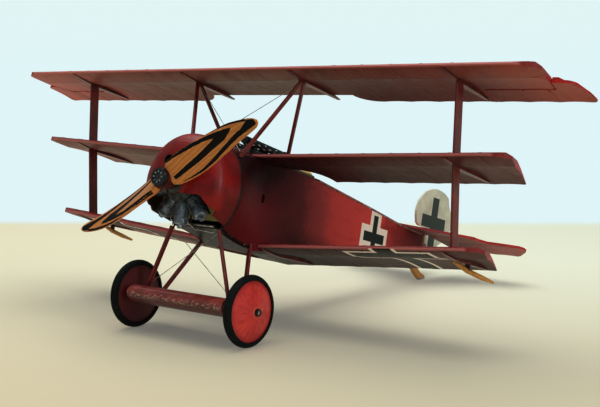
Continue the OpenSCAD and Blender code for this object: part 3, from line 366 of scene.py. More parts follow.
def fuselage_fabric():
    """Red sides, dark maroon behind the engine (partly soot, partly painted shade round the wing roots),
    darker aft as painted shade under the tailplane, with a cross well aft.
    """
    p = Paint("fuselage_red", specular=0.1)
    y, z = p.xyz()[1:]
    drift = p.sum("MULTIPLY", p.sum("SUBTRACT", p.noise(0.07, 4, 0.6), 0.5), 34.0)
    back = p.sum("ADD", y, drift)
    # the ramp's dark front is partly soot and partly painted shade under the wings; its dark end aft is
    # painted shade under the tailplane
    colour = p.ramp(back, 10, 150, [(10, srgb(98, 20, 24)), (150, srgb(92, 26, 28)), (34, srgb(106, 28, 34)),
                                    (54, srgb(102, 40, 44)), (66, srgb(140, 54, 54)), (82, srgb(170, 58, 55)),
                                    (112, srgb(184, 60, 56)), (128, srgb(122, 38, 38))])
    # soot and painted shade round the middle wing's root
    aft = p.sum("MULTIPLY", p.sum("SUBTRACT", y, 29.0), 0.045)
    up = p.sum("MULTIPLY", p.sum("SUBTRACT", z, 12.0), 0.085)
    away = p.sum("SQRT", p.sum("ADD", p.sum("POWER", aft, 2.0), p.sum("POWER", up, 2.0)))
    root_soot_and_shade = p.fade(p.sum("ADD", away, p.sum("MULTIPLY", p.noise(0.16, 4), 0.6)), 0.7, 1.75)
    colour = p.tint(colour, root_soot_and_shade, 0.93, srgb(26, 7, 11))
    # painted shade: a dark line in the gap just behind the cowl
    cowl_end = aero_box("cowling")[1].y
    cowl_gap_shade = p.fade(y, cowl_end + 0.9, cowl_end + 1.3)
    colour = p.tint(colour, cowl_gap_shade, 0.9, srgb(18, 8, 10))
    side = aero_points("fuselage_side_port")
    nose = min(v.y for v in side)
    nose_z = min(v.z for v in side if v.y < nose + 0.3)
    knee = min(side, key=lambda v: v.z)
    slope = (knee.z - nose_z) / (knee.y - nose)
    edge = p.sum("ADD", nose_z, p.sum("MULTIPLY", p.sum("SUBTRACT", y, nose), slope))
    over = p.sum("ADD", p.sum("SUBTRACT", z, edge), p.sum("MULTIPLY", p.noise(0.9, 3), 0.5))
    oily = p.times(p.fade(over, 1.0, 1.4), p.fade(y, knee.y - 2, knee.y))
    colour = p.tint(colour, oily, 0.92, srgb(16, 17, 18))
    # painted highlights: pale glints on the black lower edge
    painted_glint = p.times(oily, p.step(p.noise(1.1, 3, 0.6), 0.6, 0.68))
    colour = p.tint(colour, painted_glint, 0.7, srgb(170, 172, 168))
    low = p.times(p.step(y, 44, 58), p.fade(y, 74, 86), p.fade(z, -12, -5))
    colour = p.tint(colour, low, 0.6, srgb(30, 8, 12))
    streak = p.noise(0.35, 4, 0.7, p.stretch(1.0, 0.25, 1.0))
    colour = p.tint(colour, p.step(streak, 0.5, 0.8), 0.35, srgb(70, 20, 24))
    speck = p.noise(2.2, 3, 0.7)
    colour = p.tint(colour, p.step(speck, 0.6, 0.8), 0.14, srgb(170, 70, 66))
    black, outline = cross(p, y, z, (109.2, -2.05), (8.2, 8.2), (1.8, 1.8), 2.4)
    upright = p.step(p.sum("ABSOLUTE", p.normal()[0]), 0.6, 0.7)
    patch = p.mix(black, p.mix(p.step(speck, 0.4, 0.8), srgb(222, 206, 196), srgb(190, 172, 160)),
                  p.mix(p.step(speck, 0.5, 0.8), srgb(24, 34, 32), srgb(58, 66, 60)))
    colour = p.mix(p.times(upright, outline), colour, patch)
    p.base(colour)
    p.rough(0.42, p.noise(0.8, 3), 0.25)
    p.bump(p.sum("ADD", p.noise(5.0, 2, 0.6), p.sum("MULTIPLY", p.noise(0.12, 2), 4.0)), 0.05, 0.5)
    return p.material


def decking_paint():
    """Red with sooty mottling, darker towards the engine: partly soot, partly painted shade under the upper
    wing.
    """
    p = Paint("decking_red", rough=0.45, specular=0.3, coat=0.05, coat_rough=0.25)
    y = p.xyz()[1]
    colour = p.ramp(y, 10, 150, [(10, srgb(84, 24, 28)), (150, srgb(150, 44, 44)), (60, srgb(96, 28, 32)),
                                 (84, srgb(156, 40, 42))])
    colour = mottle(p, colour, SOOT, srgb(200, 120, 110), 0.14, 0.35)
    p.base(colour)
    p.rough(0.36, p.noise(0.8, 3), 0.25)
    p.bump(p.noise(4.5, 2, 0.6), 0.04, 0.5)
    return p.material


def belly_paint():
    """Oil-stained dark sheet under the engine bay, with painted highlights as pale glints."""
    p = Paint("belly_grey", rough=0.34, metal=0.1, specular=0.4, coat=0.15, coat_rough=0.15)
    colour = p.clouds(0.22, 4, 0.3, 0.7, srgb(14, 18, 18), srgb(32, 38, 36), 0.6)
    stain = p.noise(0.5, 4, 0.7, p.stretch(1.0, 0.2, 1.0))
    colour = p.tint(colour, p.step(stain, 0.55, 0.75), 0.6, srgb(16, 18, 18))
    # painted highlights: pale glints on the dark sheet
    painted_glint = p.step(p.noise(0.9, 3, 0.7, p.stretch(1.0, 0.3, 1.0)), 0.63, 0.72)
    colour = p.tint(colour, painted_glint, 0.4, srgb(170, 178, 172))
    p.base(colour)
    p.rough(0.2, p.noise(0.7, 3), 0.3)
    p.bump(p.noise(0.5, 3), 0.12, 0.5)
    return p.material


def cowl_paint():
    """Glossy red over beaten metal, dirtier round the opening and darker towards the rear edge, which ends in
    a line of painted shade at the gap to the fuselage.
    """
    p = Paint("cowl_red", rough=0.3, specular=0.3, coat=0.12, coat_rough=0.3)
    x, y, z = p.xyz()
    back = aero_box("cowling")[1].y
    colour = p.clouds(0.16, 4, 0.3, 0.7, srgb(142, 17, 17), srgb(106, 9, 11), 0.6)
    colour = p.tint(colour, p.step(y, back - 8, back - 1), 0.6, srgb(84, 9, 12))
    # painted shade: a near-black line along the rear edge, at the gap to the fuselage
    rim = p.step(y, back - 1.1, back - 0.8)
    colour = p.tint(colour, rim, 0.92, srgb(22, 9, 10))
    radius = p.length(x, z)
    inside = p.times(p.fade(radius, 4.6, 6.4), p.step(p.noise(0.6, 4), 0.35, 0.6))
    colour = p.tint(colour, inside, 0.7, srgb(60, 12, 14))
    runs = p.noise(0.45, 4, 0.7, p.stretch(1.0, 1.0, 0.2))
    colour = p.tint(colour, p.step(runs, 0.55, 0.8), 0.35, srgb(70, 8, 12))
    normal = p.normal()
    outward = p.sum("ADD", p.sum("MULTIPLY", normal[0], x), p.sum("MULTIPLY", normal[2], z))
    lining = p.fade(outward, -0.6, -0.2)
    colour = p.mix(lining, colour, srgb(70, 58, 44))
    chips = p.times(p.step(p.noise(1.9, 4, 0.7), 0.66, 0.7), p.step(z, -13.0, -15.0))
    colour = p.tint(colour, chips, 0.5, srgb(196, 120, 110))
    p.base(colour)
    p.rough(0.32, p.noise(0.35, 4, 0.6), 0.22)
    p.bump(p.sum("ADD", p.noise(0.16, 3), p.sum("MULTIPLY", p.noise(1.2, 3), 0.12)), 0.35, 0.5)
    return p.material


def strut_paint(name, body, dark, worn, wear=0.6, rough=0.36, gloss=0.5):
    """Brushed satin enamel with pale rubbed places and chips."""
    p = Paint(name, rough=rough, specular=gloss, coat=0.3 * gloss, coat_rough=0.2)
    colour = p.clouds(0.3, 4, 0.35, 0.65, body, dark, 0.6)
    rub = p.times(p.step(p.noise(0.9, 4, 0.65), 0.55, 0.7), wear)
    colour = p.mix(rub, colour, worn)
    p.base(colour)
    p.rough(rough - 0.08, p.noise(1.3, 3), 0.25)
    p.bump(p.noise(1.8, 3, 0.6), 0.05, 0.5)
    return p.material


def axle_wing_paint():
    """Red fairing scuffed by stones to pale primer along its front, its downward faces darkened as painted
    shade.
    """
    p = Paint("axle_wing_red", rough=0.4, coat=0.15, coat_rough=0.2)
    y, z = p.xyz()[1:]
    low, high = aero_box("axle_wing")
    colour = p.clouds(0.25, 4, 0.35, 0.65, srgb(160, 66, 58), srgb(124, 46, 42))
    # painted shade on the downward-facing faces
    under = p.fade(p.normal()[2], -0.5, 0.0)
    colour = p.tint(colour, under, 0.7, srgb(56, 30, 30))
    front = p.fade(y, low.y + 0.6, low.y + 2.2)
    middle = (low.z + high.z) / 2 - 0.1
    belt = p.window(z, middle - 0.8, middle + 0.8, 0.5)
    stone = p.noise(0.9, 5, 0.75, p.stretch(0.8, 1.0, 1.4))
    chips = p.times(p.step(stone, 0.49, 0.58), front, belt)
    colour = p.tint(colour, chips, 0.8, srgb(196, 156, 150))
    fine = p.step(p.noise(2.2, 4, 0.7), 0.66, 0.72)
    colour = p.tint(colour, fine, 0.5, srgb(170, 120, 114))
    p.base(colour)
    p.bump(p.sum("SUBTRACT", p.noise(1.1, 3), chips), 0.06, 0.6)
    return p.material


def tyre_rubber():
    """Dark rubber with a little dust."""
    p = Paint("tyre_rubber", rough=0.75, specular=0.15)
    colour = p.clouds(0.9, 4, 0.35, 0.7, srgb(8, 14, 14), srgb(20, 28, 27), 0.7)
    dust = p.step(p.noise(2.4, 4, 0.7), 0.62, 0.78)
    colour = p.tint(colour, dust, 0.4, srgb(104, 100, 88))
    p.base(colour)
    p.rough(0.55, p.noise(1.5, 3), 0.3)
    p.bump(p.noise(4.0, 3, 0.7), 0.04, 0.6)
    return p.material


def wheel_linen(name, hub):
    """Doped linen cover drawn over spokes, with faint rays from the hub, and painted shade on its inner face.
    """
    p = Paint(name, specular=0.4, coat=0.1, coat_rough=0.3)
    y, z = p.xyz()[1:]
    dy, dz = p.sum("SUBTRACT", y, hub.y), p.sum("SUBTRACT", z, hub.z)
    angle = p.sum("ARCTAN2", dz, dy)
    radius = p.length(dy, dz)
    ring = p.vector(p.sum("COSINE", angle), p.sum("SINE", angle), p.sum("MULTIPLY", radius, 0.035))
    rays = p.noise(7.0, 4, 0.75, ring)
    colour = p.clouds(0.22, 3, 0.3, 0.7, srgb(206, 62, 56), srgb(182, 44, 44))
    colour = p.tint(colour, p.step(rays, 0.5, 0.72), 0.45, srgb(232, 112, 84))
    colour = p.tint(colour, p.step(rays, 0.5, 0.28), 0.35, srgb(140, 30, 34))
    centre = p.fade(radius, 0.7, 2.4)
    colour = p.tint(colour, centre, 0.5, srgb(226, 120, 96))
    rim = p.step(radius, 7.4, 8.6)
    colour = p.tint(colour, rim, 0.4, srgb(120, 24, 28))
    # painted shade: the face turned in towards the other wheel is darkened
    outward = p.sum("MULTIPLY", p.normal()[0], math.copysign(1.0, hub.x))
    inner = p.fade(outward, -0.4, 0.0)
    colour = p.tint(colour, inner, 0.88, srgb(58, 12, 20))
    p.base(colour)
    p.bump(p.sum("ADD", p.sum("MULTIPLY", rays, 0.6), p.sum("MULTIPLY", p.noise(4.5, 2), 0.3)), 0.1, 0.5)
    return p.material


def rudder_paint():
    """Off-white fabric with a plain dark cross."""
    p = Paint("rudder_white", specular=0.4, coat=0.1, coat_rough=0.3)
    y, z = p.xyz()[1:]
    colour = p.clouds(0.14, 4, 0.3, 0.7, srgb(206, 206, 186), srgb(176, 178, 160), 0.6)
    grime = p.noise(0.4, 4, 0.7, p.stretch(1.0, 1.0, 0.3))
    colour = p.tint(colour, p.step(grime, 0.55, 0.8), 0.4, srgb(140, 140, 122))
    weave = p.noise(2.6, 3, 0.7)
    black = cross(p, y, z, (158.9, 11.0), (9.4, 10.2), (2.5, 2.5), 0.0)[0]
    patch = p.mix(p.step(weave, 0.45, 0.8), srgb(22, 36, 36), srgb(54, 66, 62))
    colour = p.mix(p.times(black, p.step(p.sum("ABSOLUTE", p.normal()[0]), 0.6, 0.7)), colour, patch)
    p.base(colour)
    ribs = p.sum("ABSOLUTE", p.sum("SINE", p.sum("MULTIPLY", z, math.pi / 5.4)))
    p.bump(p.sum("ADD", ribs, p.sum("MULTIPLY", weave, 0.2)), 0.08, 0.5)
    return p.material


def laminated(name):
    """Varnished laminated wood: the glue lines show as contours where the blade is carved through them."""
    p = Paint(name, rough=0.34, coat=0.35, coat_rough=0.12)
    x, y, z = p.xyz()
    bend = p.sum("MULTIPLY", p.noise(0.12, 3), 0.5)
    layer = p.sum("FRACT", p.sum("MULTIPLY", p.sum("ADD", y, bend), 1.55))
    colour = p.mix(p.step(layer, 0.42, 0.58), srgb(208, 134, 60), srgb(192, 116, 48))
    glue = p.most(p.window(layer, 0.0, 0.07, 0.04), p.window(layer, 0.47, 0.53, 0.04))
    colour = p.tint(colour, glue, 0.45, srgb(124, 70, 28))
    grain = p.noise(0.5, 5, 0.7, p.stretch(0.6, 6.0, 6.0), 0.4)
    colour = p.tint(colour, p.step(grain, 0.45, 0.75), 0.4, srgb(136, 78, 32))
    behind = p.step(p.normal()[1], -0.25, 0.2)
    colour = p.tint(colour, behind, 0.7, srgb(222, 124, 40))
    reach = p.length(x, z)
    boss = p.fade(reach, 3.1, 3.3)
    colour = p.mix(boss, colour, srgb(78, 12, 12))
    p.base(colour)
    p.rough(0.25, grain, 0.25)
    p.bump(p.sum("ADD", grain, p.sum("MULTIPLY", glue, -0.6)), 0.05, 0.5)
    return p.material


def bent_wood(name):
    """Pale ash skids, their grain along the part."""
    p = Paint(name, rough=0.45, specular=0.4, coat=0.15, coat_rough=0.2)
    grain = p.noise(0.8, 5, 0.7, p.stretch(4.0, 0.5, 4.0), 0.4)
    colour = p.mix(p.step(grain, 0.35, 0.7), srgb(206, 146, 66), srgb(150, 96, 40))
    colour = p.tint(colour, p.step(p.noise(1.4, 4), 0.6, 0.75), 0.5, srgb(96, 62, 32))
    p.base(colour)
    p.bump(grain, 0.06, 0.5)
    return p.material


def machined(name, light, dark, rough, metal, oil):
    """Bare or blackened metal with oil stains, patchy polish and fine pitting."""
    p = Paint(name, rough=rough, metal=metal)
    colour = p.clouds(0.6, 4, 0.35, 0.65, light, dark, 0.65)
    stain = p.step(p.noise(0.35, 5, 0.7), 0.5, 0.7)
    colour = p.tint(colour, stain, oil, srgb(22, 20, 18))
    p.base(colour)
    p.rough(rough - 0.1, p.noise(1.6, 4), 0.35)
    p.bump(p.noise(3.2, 3, 0.65), 0.04, 0.5)
    return p.material


GUN_DIP = 3.3                # degrees by which a gun's line falls towards its breech
BREECH_LENGTH = 11.2         # of the closed rear part of a gun
MUZZLE_LENGTH = 2.4          # of the closed front end of a jacket


def gun_paint():
    """Blackened jackets; the barrel inside is painted near white, a painted highlight that makes their slots
    show bright.
    """
    p = Paint("gun_black", rough=0.34)
    x, y, z = p.xyz()
    points = aero_points("gun_port")
    muzzle_y = min(v.y for v in points)
    muzzle = [v for v in points if v.y < muzzle_y + 0.3]
    centre = sum(muzzle, Vector()) / len(muzzle)
    breech_y = max(v.y for v in points) - BREECH_LENGTH
    dip = math.tan(math.radians(GUN_DIP))
    across = p.sum("SUBTRACT", p.sum("ABSOLUTE", x), centre.x)
    line = p.sum("SUBTRACT", centre.z, p.sum("MULTIPLY", p.sum("SUBTRACT", y, centre.y), dip))
    height = p.sum("SUBTRACT", z, line)
    radius = p.length(across, height)
    # painted highlight: the barrel seen through the slots is near white, brighter than bare steel
    barrel_highlight = p.times(p.fade(radius, 0.96, 1.04), p.window(y, muzzle_y + MUZZLE_LENGTH, breech_y))
    colour = p.clouds(0.6, 4, 0.35, 0.65, srgb(58, 66, 72), srgb(22, 26, 30), 0.65)
    p.base(p.mix(barrel_highlight, colour, srgb(240, 246, 246)))
    p.put(p.bsdf.inputs["Metallic"], p.sum("MULTIPLY", p.invert(barrel_highlight), 0.7))
    p.rough(0.24, p.noise(1.6, 4), 0.35)
    p.bump(p.noise(3.2, 3, 0.65), 0.04, 0.5)
    return p.material


def leather():
    """Brown padding with fine creases."""
    p = Paint("padded_leather", rough=0.55, specular=0.4)
    colour = p.clouds(0.5, 4, 0.3, 0.7, srgb(112, 86, 72), srgb(76, 58, 50))
    creases = p.creases(1.7)
    colour = p.tint(colour, p.step(creases, 0.12, 0.0), 0.5, srgb(20, 14, 12))
    p.base(colour)
    p.bump(p.step(creases, 0.0, 0.2), 0.08, 0.7)
    return p.material


def khaki():
    """Khaki firewall with oily patches."""
    p = Paint("firewall_khaki", rough=0.55, specular=0.35)
    colour = p.clouds(0.3, 4, 0.3, 0.7, srgb(176, 166, 116), srgb(140, 130, 88))
    colour = p.tint(colour, p.step(p.noise(0.55, 5, 0.7), 0.5, 0.7), 0.6, srgb(46, 40, 30))
    p.base(colour)
    p.bump(p.noise(1.5, 3), 0.05, 0.5)
    return p.material


def plywood(name, light, dark):
    """Thin wood, its grain across the part."""
    p = Paint(name, specular=0.35)
    grain = p.noise(0.7, 5, 0.7, p.stretch(0.4, 3.0, 3.0), 0.3)
    p.base(p.mix(p.step(grain, 0.35, 0.7), light, dark))
    p.bump(grain, 0.04, 0.5)
    return p.material


# ---------------- finishes of the CAD nodes
# Tones of the undersides along the span, from the starboard tip to the port one, the two ends first.
# They are partly real paint and partly painted shade, darkest near the roots under the fuselage and the wings
# above.
UPPER = [(-105, srgb(188, 92, 86)), (105, srgb(166, 74, 58)), (-76, srgb(168, 90, 84)),
         (-60, srgb(140, 88, 80)), (-20, srgb(122, 84, 78)), (16, srgb(124, 86, 80)),
         (40, srgb(94, 50, 47)), (76, srgb(116, 48, 44))]
MIDDLE = [(-105, srgb(174, 86, 84)), (105, srgb(106, 42, 42)), (-72, srgb(138, 92, 88)),
          (-30, srgb(116, 84, 78)), (12, srgb(22, 6, 9)), (34, srgb(38, 10, 12)),
          (52, srgb(72, 34, 33)), (80, srgb(88, 42, 40))]
LOWER = [(-105, srgb(168, 80, 80)), (105, srgb(94, 40, 38)), (-50, srgb(140, 92, 88)),
         (-14, srgb(72, 66, 62)), (12, srgb(28, 30, 29)), (28, srgb(38, 22, 22)),
         (45, srgb(54, 32, 31)), (72, srgb(70, 33, 33))]
TAIL = [(-105, srgb(170, 96, 96)), (105, srgb(140, 64, 66)), (-20, srgb(132, 62, 62)),
        (12, srgb(96, 36, 40)), (30, srgb(164, 92, 88))]
TAIL_CHORD = 40              # of the tailplane and elevator together

def wing_paint(name, node, stops, **more):
    """Fabric whose strips are placed along the chord of a CAD wing."""
    low, high = aero_box(node)
    return doped_fabric(name, low.y, high.y - low.y, stops, **more)


def finish(material, *nodes):
    """Put a material on CAD nodes."""
    for node in nodes:
        for item in frame["nodes"][node].material_slots:
            item.material = material
    return material


FUSELAGE_SKIN = finish(fuselage_fabric(), "fuselage_side_port", "fuselage_side_starboard",
                       "rear_belly")
finish(decking_paint(), "front_decking", "rear_decking")
finish(belly_paint(), "front_belly")
finish(cowl_paint(), "cowling")
UPPER_SKIN = finish(wing_paint("upper_fabric", "upper_wing", UPPER),
                    "upper_wing", "aileron_port", "aileron_starboard")
MIDDLE_SKIN = finish(wing_paint("middle_fabric", "middle_wing_port", MIDDLE, front_tone=(86, 36, 36)),
                     "middle_wing_port", "middle_wing_starboard", "wing_roots")
LOWER_SKIN = finish(wing_paint("lower_fabric", "lower_wing_port", LOWER, front_tone=(84, 44, 42),
                               cross_at=((56.2, 45.5), (13.6, 60.0), (3.1, 4.6), 1.3)),
                    "lower_wing_port", "lower_wing_starboard")
finish(doped_fabric("tail_fabric", aero_box("tailplane")[0].y, TAIL_CHORD, TAIL, strip=0.7),
       "tailplane", "elevator")
finish(rudder_paint(), "rudder")
finish(strut_paint("strut_red", srgb(126, 30, 28), srgb(92, 20, 20), srgb(158, 66, 60), 0.3),
       "cabane_struts", "gear_struts", "sternpost", "interplane_struts_port", "interplane_struts_starboard")
finish(strut_paint("keel_red", srgb(112, 30, 30), srgb(70, 16, 18), srgb(140, 60, 56), 0.35), "keel_ribs")
finish(axle_wing_paint(), "axle_wing")
finish(tyre_rubber(), "port_tyre", "starboard_tyre")
finish(laminated("wood_blade"), "propeller")
finish(bent_wood("skid_wood"), "tip_skids", "tail_skid")
finish(machined("engine_steel", srgb(160, 172, 188), srgb(80, 92, 104), 0.28, 0.5, 0.45), "cylinders")
finish(machined("crankcase_steel", srgb(68, 73, 78), srgb(30, 33, 38), 0.3, 0.45, 0.5), "crankcase")
finish(machined("bare_steel", srgb(196, 198, 194), srgb(130, 132, 130), 0.26, 0.95, 0.3),
       "hub_bolts", "crankshaft", "drain_pipes", "bracing_wires", "axle", "hinge_pins", "rudder_bar",
       "skid_shoe")
finish(machined("dark_metal", srgb(74, 72, 70), srgb(38, 38, 40), 0.42, 0.7, 0.4),
       "gun_brackets", "skid_brackets", "axle_retainers", "port_wheel_bush", "starboard_wheel_bush",
       "control_stick", "pushrods")
finish(gun_paint(), "gun_port", "gun_starboard")
finish(strut_paint("hub_black", srgb(28, 34, 38), srgb(16, 20, 24), srgb(120, 126, 126), 0.5), "hub_cap")
finish(khaki(), "firewall")
finish(leather(), "cockpit_coaming")
finish(plywood("cockpit_ply", srgb(150, 104, 58), srgb(110, 72, 38)),
       "instrument_panel", "seat_bulkhead", "cockpit_floor")
finish(plywood("seat_ochre", srgb(196, 160, 70), srgb(160, 122, 48)), "seat")
for side in ("port", "starboard"):
    low, high = aero_box(side + "_tyre")
    finish(wheel_linen("linen_" + side, (low + high) / 2), side + "_wheel_disc")

# ---------------- smooth skins over faceted CAD nodes
SOFT_BEND = 32.0             # degrees; edges that bend more stay sharp


def smooth_skin(node, material, body):
    """A copy of a CAD node's surface, shaded smooth across its softly bent edges."""
    mesh = frame["nodes"][node].data.copy()
    mesh.name = node + "_skin"
    bm = bmesh.new()
    bm.from_mesh(mesh)
    bmesh.ops.remove_doubles(bm, verts=bm.verts, dist=0.002 * MM)
    for face in bm.faces:
        face.smooth = True
    for edge in bm.edges:
        edge.smooth = len(edge.link_faces) == 2 and edge.calc_face_angle(0.0) < math.radians(SOFT_BEND)
    mesh.clear_geometry()
    bm.to_mesh(mesh)
    bm.free()
    mesh.materials.clear()
    mesh.materials.append(material)
    piece = new_object(mesh.name, mesh)
    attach(piece, body)
    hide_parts(node)


for side in ("port", "starboard"):
    smooth_skin("fuselage_side_" + side, FUSELAGE_SKIN, "airframe")

# ---------------- camera
LENS = 64.0                  # millimetres, with the sensor's width below
SENSOR_WIDTH = 36.0
# Place and axes of the camera in the row frame, fitted to the photo
CAMERA_AT = Vector((0.22459, -0.30592, 0.07287))
RIGHT = Vector((0.78917, 0.61417, 0.00166))
UPWARD = Vector((-0.06136, 0.07616, 0.99521))
AWAY = Vector((-0.61110, 0.78549, -0.09779))

camera = new_object("camera", bpy.data.cameras.new("camera"))
camera.data.lens = LENS
camera.data.sensor_width = SENSOR_WIDTH
camera.data.clip_start = 0.01
turn = Matrix((RIGHT, UPWARD, -AWAY)).transposed()
camera.matrix_world = Matrix.Translation(CAMERA_AT) @ turn.to_4x4()
bpy.context.scene.camera = camera

# ---------------- floor, backdrop and light
TABLE_EDGE = 0.62            # from the camera to where the table gives way to the pale backdrop
FLOOR_REACH = 3.0
BACKDROP = srgb(219, 237, 240)
BACKDROP_TOP = srgb(224, 238, 230)
BACKDROP_FILL = 0.42         # strength of the backdrop as a light, against 1 as it is seen
PAPER_GLOW = 0.27            # stands in for light thrown back at the undersides


def stage_floor():
    """Pale paper that turns into the backdrop beyond the table's edge."""
    mesh = bpy.data.meshes.new("floor")
    square = [(-1, -1), (1, -1), (1, 1), (-1, 1)]
    mesh.from_pydata([(a * FLOOR_REACH, b * FLOOR_REACH, 0) for a, b in square], [], [(0, 1, 2, 3)])
    floor = new_object("floor", mesh)
    p = Paint("floor_paper", rough=0.75, specular=0.2)

    def along(way):
        """Distance from the row frame's origin along a direction."""
        node = p.tree.nodes.new("ShaderNodeVectorMath")
        node.operation = "DOT_PRODUCT"
        p.put(node.inputs[0], p.texco().outputs["Object"])
        node.inputs[1].default_value = way
        return node.outputs["Value"]

    level_away = Vector((AWAY.x, AWAY.y, 0)).normalized()
    far = p.sum("SUBTRACT", along(level_away), CAMERA_AT.dot(level_away))
    cloud = p.noise(7.0, 3, 0.5, p.texco().outputs["Object"])
    paper = p.mix(p.step(far, 0.2, 0.5), srgb(168, 160, 132), srgb(194, 198, 180))
    paper = p.tint(paper, p.step(along(RIGHT), 0.15, -0.2), 0.4, srgb(206, 184, 140))
    paper = p.tint(paper, p.step(cloud, 0.4, 0.7), 0.15, srgb(190, 180, 150))
    p.base(paper)
    p.bsdf.inputs["Emission Color"].default_value = srgb(190, 190, 186)
    p.bsdf.inputs["Emission Strength"].default_value = PAPER_GLOW
    glow = p.tree.nodes.new("ShaderNodeEmission")
    glow.inputs[0].default_value = BACKDROP
    glow.inputs[1].default_value = 1.0
    joined = p.tree.nodes.new("ShaderNodeMixShader")
    p.put(joined.inputs[0], p.step(far, TABLE_EDGE - 0.012, TABLE_EDGE + 0.02))
    p.put(joined.inputs[1], p.bsdf.outputs[0])
    p.put(joined.inputs[2], glow.outputs[0])
    p.put(p.out.inputs[0], joined.outputs[0])
    mesh.materials.append(p.material)


def backdrop():
    """Pale surroundings, dimmer as a light than they look."""
    world = bpy.data.worlds.new("studio")
    bpy.context.scene.world = world
    world.use_nodes = True
    tree = world.node_tree
    tree.nodes.clear()
    out = tree.nodes.new("ShaderNodeOutputWorld")
    sky = tree.nodes.new("ShaderNodeBackground")
    where = tree.nodes.new("ShaderNodeTexCoord")
    split = tree.nodes.new("ShaderNodeSeparateXYZ")
    tones = tree.nodes.new("ShaderNodeValToRGB")
    for item, place, colour in zip(tones.color_ramp.elements, (0.0, 0.24), (BACKDROP, BACKDROP_TOP)):
        item.position = place
        item.color = colour
    rays = tree.nodes.new("ShaderNodeLightPath")
    seen = tree.nodes.new("ShaderNodeMapRange")
    seen.inputs["To Min"].default_value = BACKDROP_FILL
    seen.inputs["To Max"].default_value = 1.0
    tree.links.new(where.outputs["Generated"], split.inputs[0])
    tree.links.new(split.outputs[2], tones.inputs[0])
    tree.links.new(tones.outputs[0], sky.inputs[0])
    tree.links.new(rays.outputs["Is Camera Ray"], seen.inputs["Value"])
    tree.links.new(seen.outputs[0], sky.inputs[1])
    tree.links.new(sky.outputs[0], out.inputs[0])


def lamp(name, place, wide, deep, power, colour):
    """A rectangular lamp that faces the middle of the model."""
    light = bpy.data.lights.new(name, "AREA")
    light.shape = "RECTANGLE"
    light.size = wide
    light.size_y = deep
    light.energy = power
    light.color = colour
    thing = new_object(name, light)
    thing.location = place
    middle = (CAD_BOX[0] + CAD_BOX[1]) / 2
    thing.rotation_euler = (middle - Vector(place)).to_track_quat("-Z", "Y").to_euler()


stage_floor()
backdrop()
lamp("ceiling", (-0.07, 0.07, 0.75), 0.85, 0.85, 6.2, (1.0, 0.98, 0.96))
lamp("window", (0.62, -0.12, 0.28), 0.16, 0.5, 1.3, (1.0, 0.93, 0.93))

# The photo's contrast: shadows deeper than the plain view gives
view = bpy.context.scene.view_settings
view.view_transform = "Standard"
view.exposure = 0.12
view.gamma = 0.85


# ---------------- detail pieces
def tree_of(node):
    """Ray-casting tree of a CAD node at rest, in the row frame."""
    mesh = frame["nodes"][node].data
    points = [v.co.copy() for v in mesh.vertices]
    return BVHTree.FromPolygons(points, [list(poly.vertices) for poly in mesh.polygons])


def row_way(*way):
    """A direction of the aeroplane, in the row frame."""
    return (TO_ROW.to_3x3() @ Vector(way)).normalized()


RAY_REACH = 14.0             # how far before and beyond a point a ray looks for the surface


def touch(tree, point, way):
    """Where a ray towards a point along a way meets the surface, and the normal facing back."""
    d = row_way(*way)
    hit, normal, _, _ = tree.ray_cast(row(*point) - d * RAY_REACH * MM, d, 2 * RAY_REACH * MM)
    if hit is None:
        return None
    return hit, (normal if normal.dot(d) < 0 else -normal)


def finished(bm, name, material, body):
    """A visible piece with outward faces and smooth shading, riding on a body."""
    bmesh.ops.recalc_face_normals(bm, faces=bm.faces)
    mesh = bpy.data.meshes.new(name)
    bm.to_mesh(mesh)
    bm.free()
    for poly in mesh.polygons:
        poly.use_smooth = True
    mesh.materials.append(material)
    piece = new_object(name, mesh)
    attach(piece, body)
    return piece


def padded_grids(grids, name, material, body, sink=0.05):
    """One piece of thin closed plates, their undersides sunk into the surface.

    A grid is rows of (place, normal, lift), all of one length.
    """
    bm = bmesh.new()
    for grid in grids:
        tops = [[bm.verts.new(p + n * lift * MM) for p, n, lift in line] for line in grid]
        feet = [[bm.verts.new(p - n * sink * MM) for p, n, lift in line] for line in grid]
        rows, columns = len(grid), len(grid[0])
        for i in range(rows - 1):
            for j in range(columns - 1):
                bm.faces.new((tops[i][j], tops[i + 1][j], tops[i + 1][j + 1], tops[i][j + 1]))
                bm.faces.new((feet[i][j], feet[i][j + 1], feet[i + 1][j + 1], feet[i + 1][j]))
        rim = [(i, 0) for i in range(rows)]
        rim += [(rows - 1, j) for j in range(1, columns)]
        rim += [(i, columns - 1) for i in range(rows - 2, -1, -1)]
        rim += [(0, j) for j in range(columns - 2, 0, -1)]
        for (a, b), (c, d) in zip(rim, rim[1:] + rim[:1]):
            bm.faces.new((tops[a][b], feet[a][b], feet[c][d], tops[c][d]))
    return finished(bm, name, material, body)


TAPE_WIDTH = 1.0
TAPE_RISE = 0.07             # of a tape's middle, on the upper surface
TAPE_RISE_BELOW = 0.045
TAPE_RIM = 0.012             # height of a tape's edges
TAPE_BREAK = 2.4             # a longer step between two points of a path ends a stretch
TAPE_STEP = 0.6              # between the points of a path
TAPE_MARGIN = 0.5            # bare cloth before the front and rear edges
TAPE_FROM_TIP = 1.2          # no tape closer to the end of a panel
RIB_APART = 2.0              # corners of the trailing edge closer than this belong to one rib


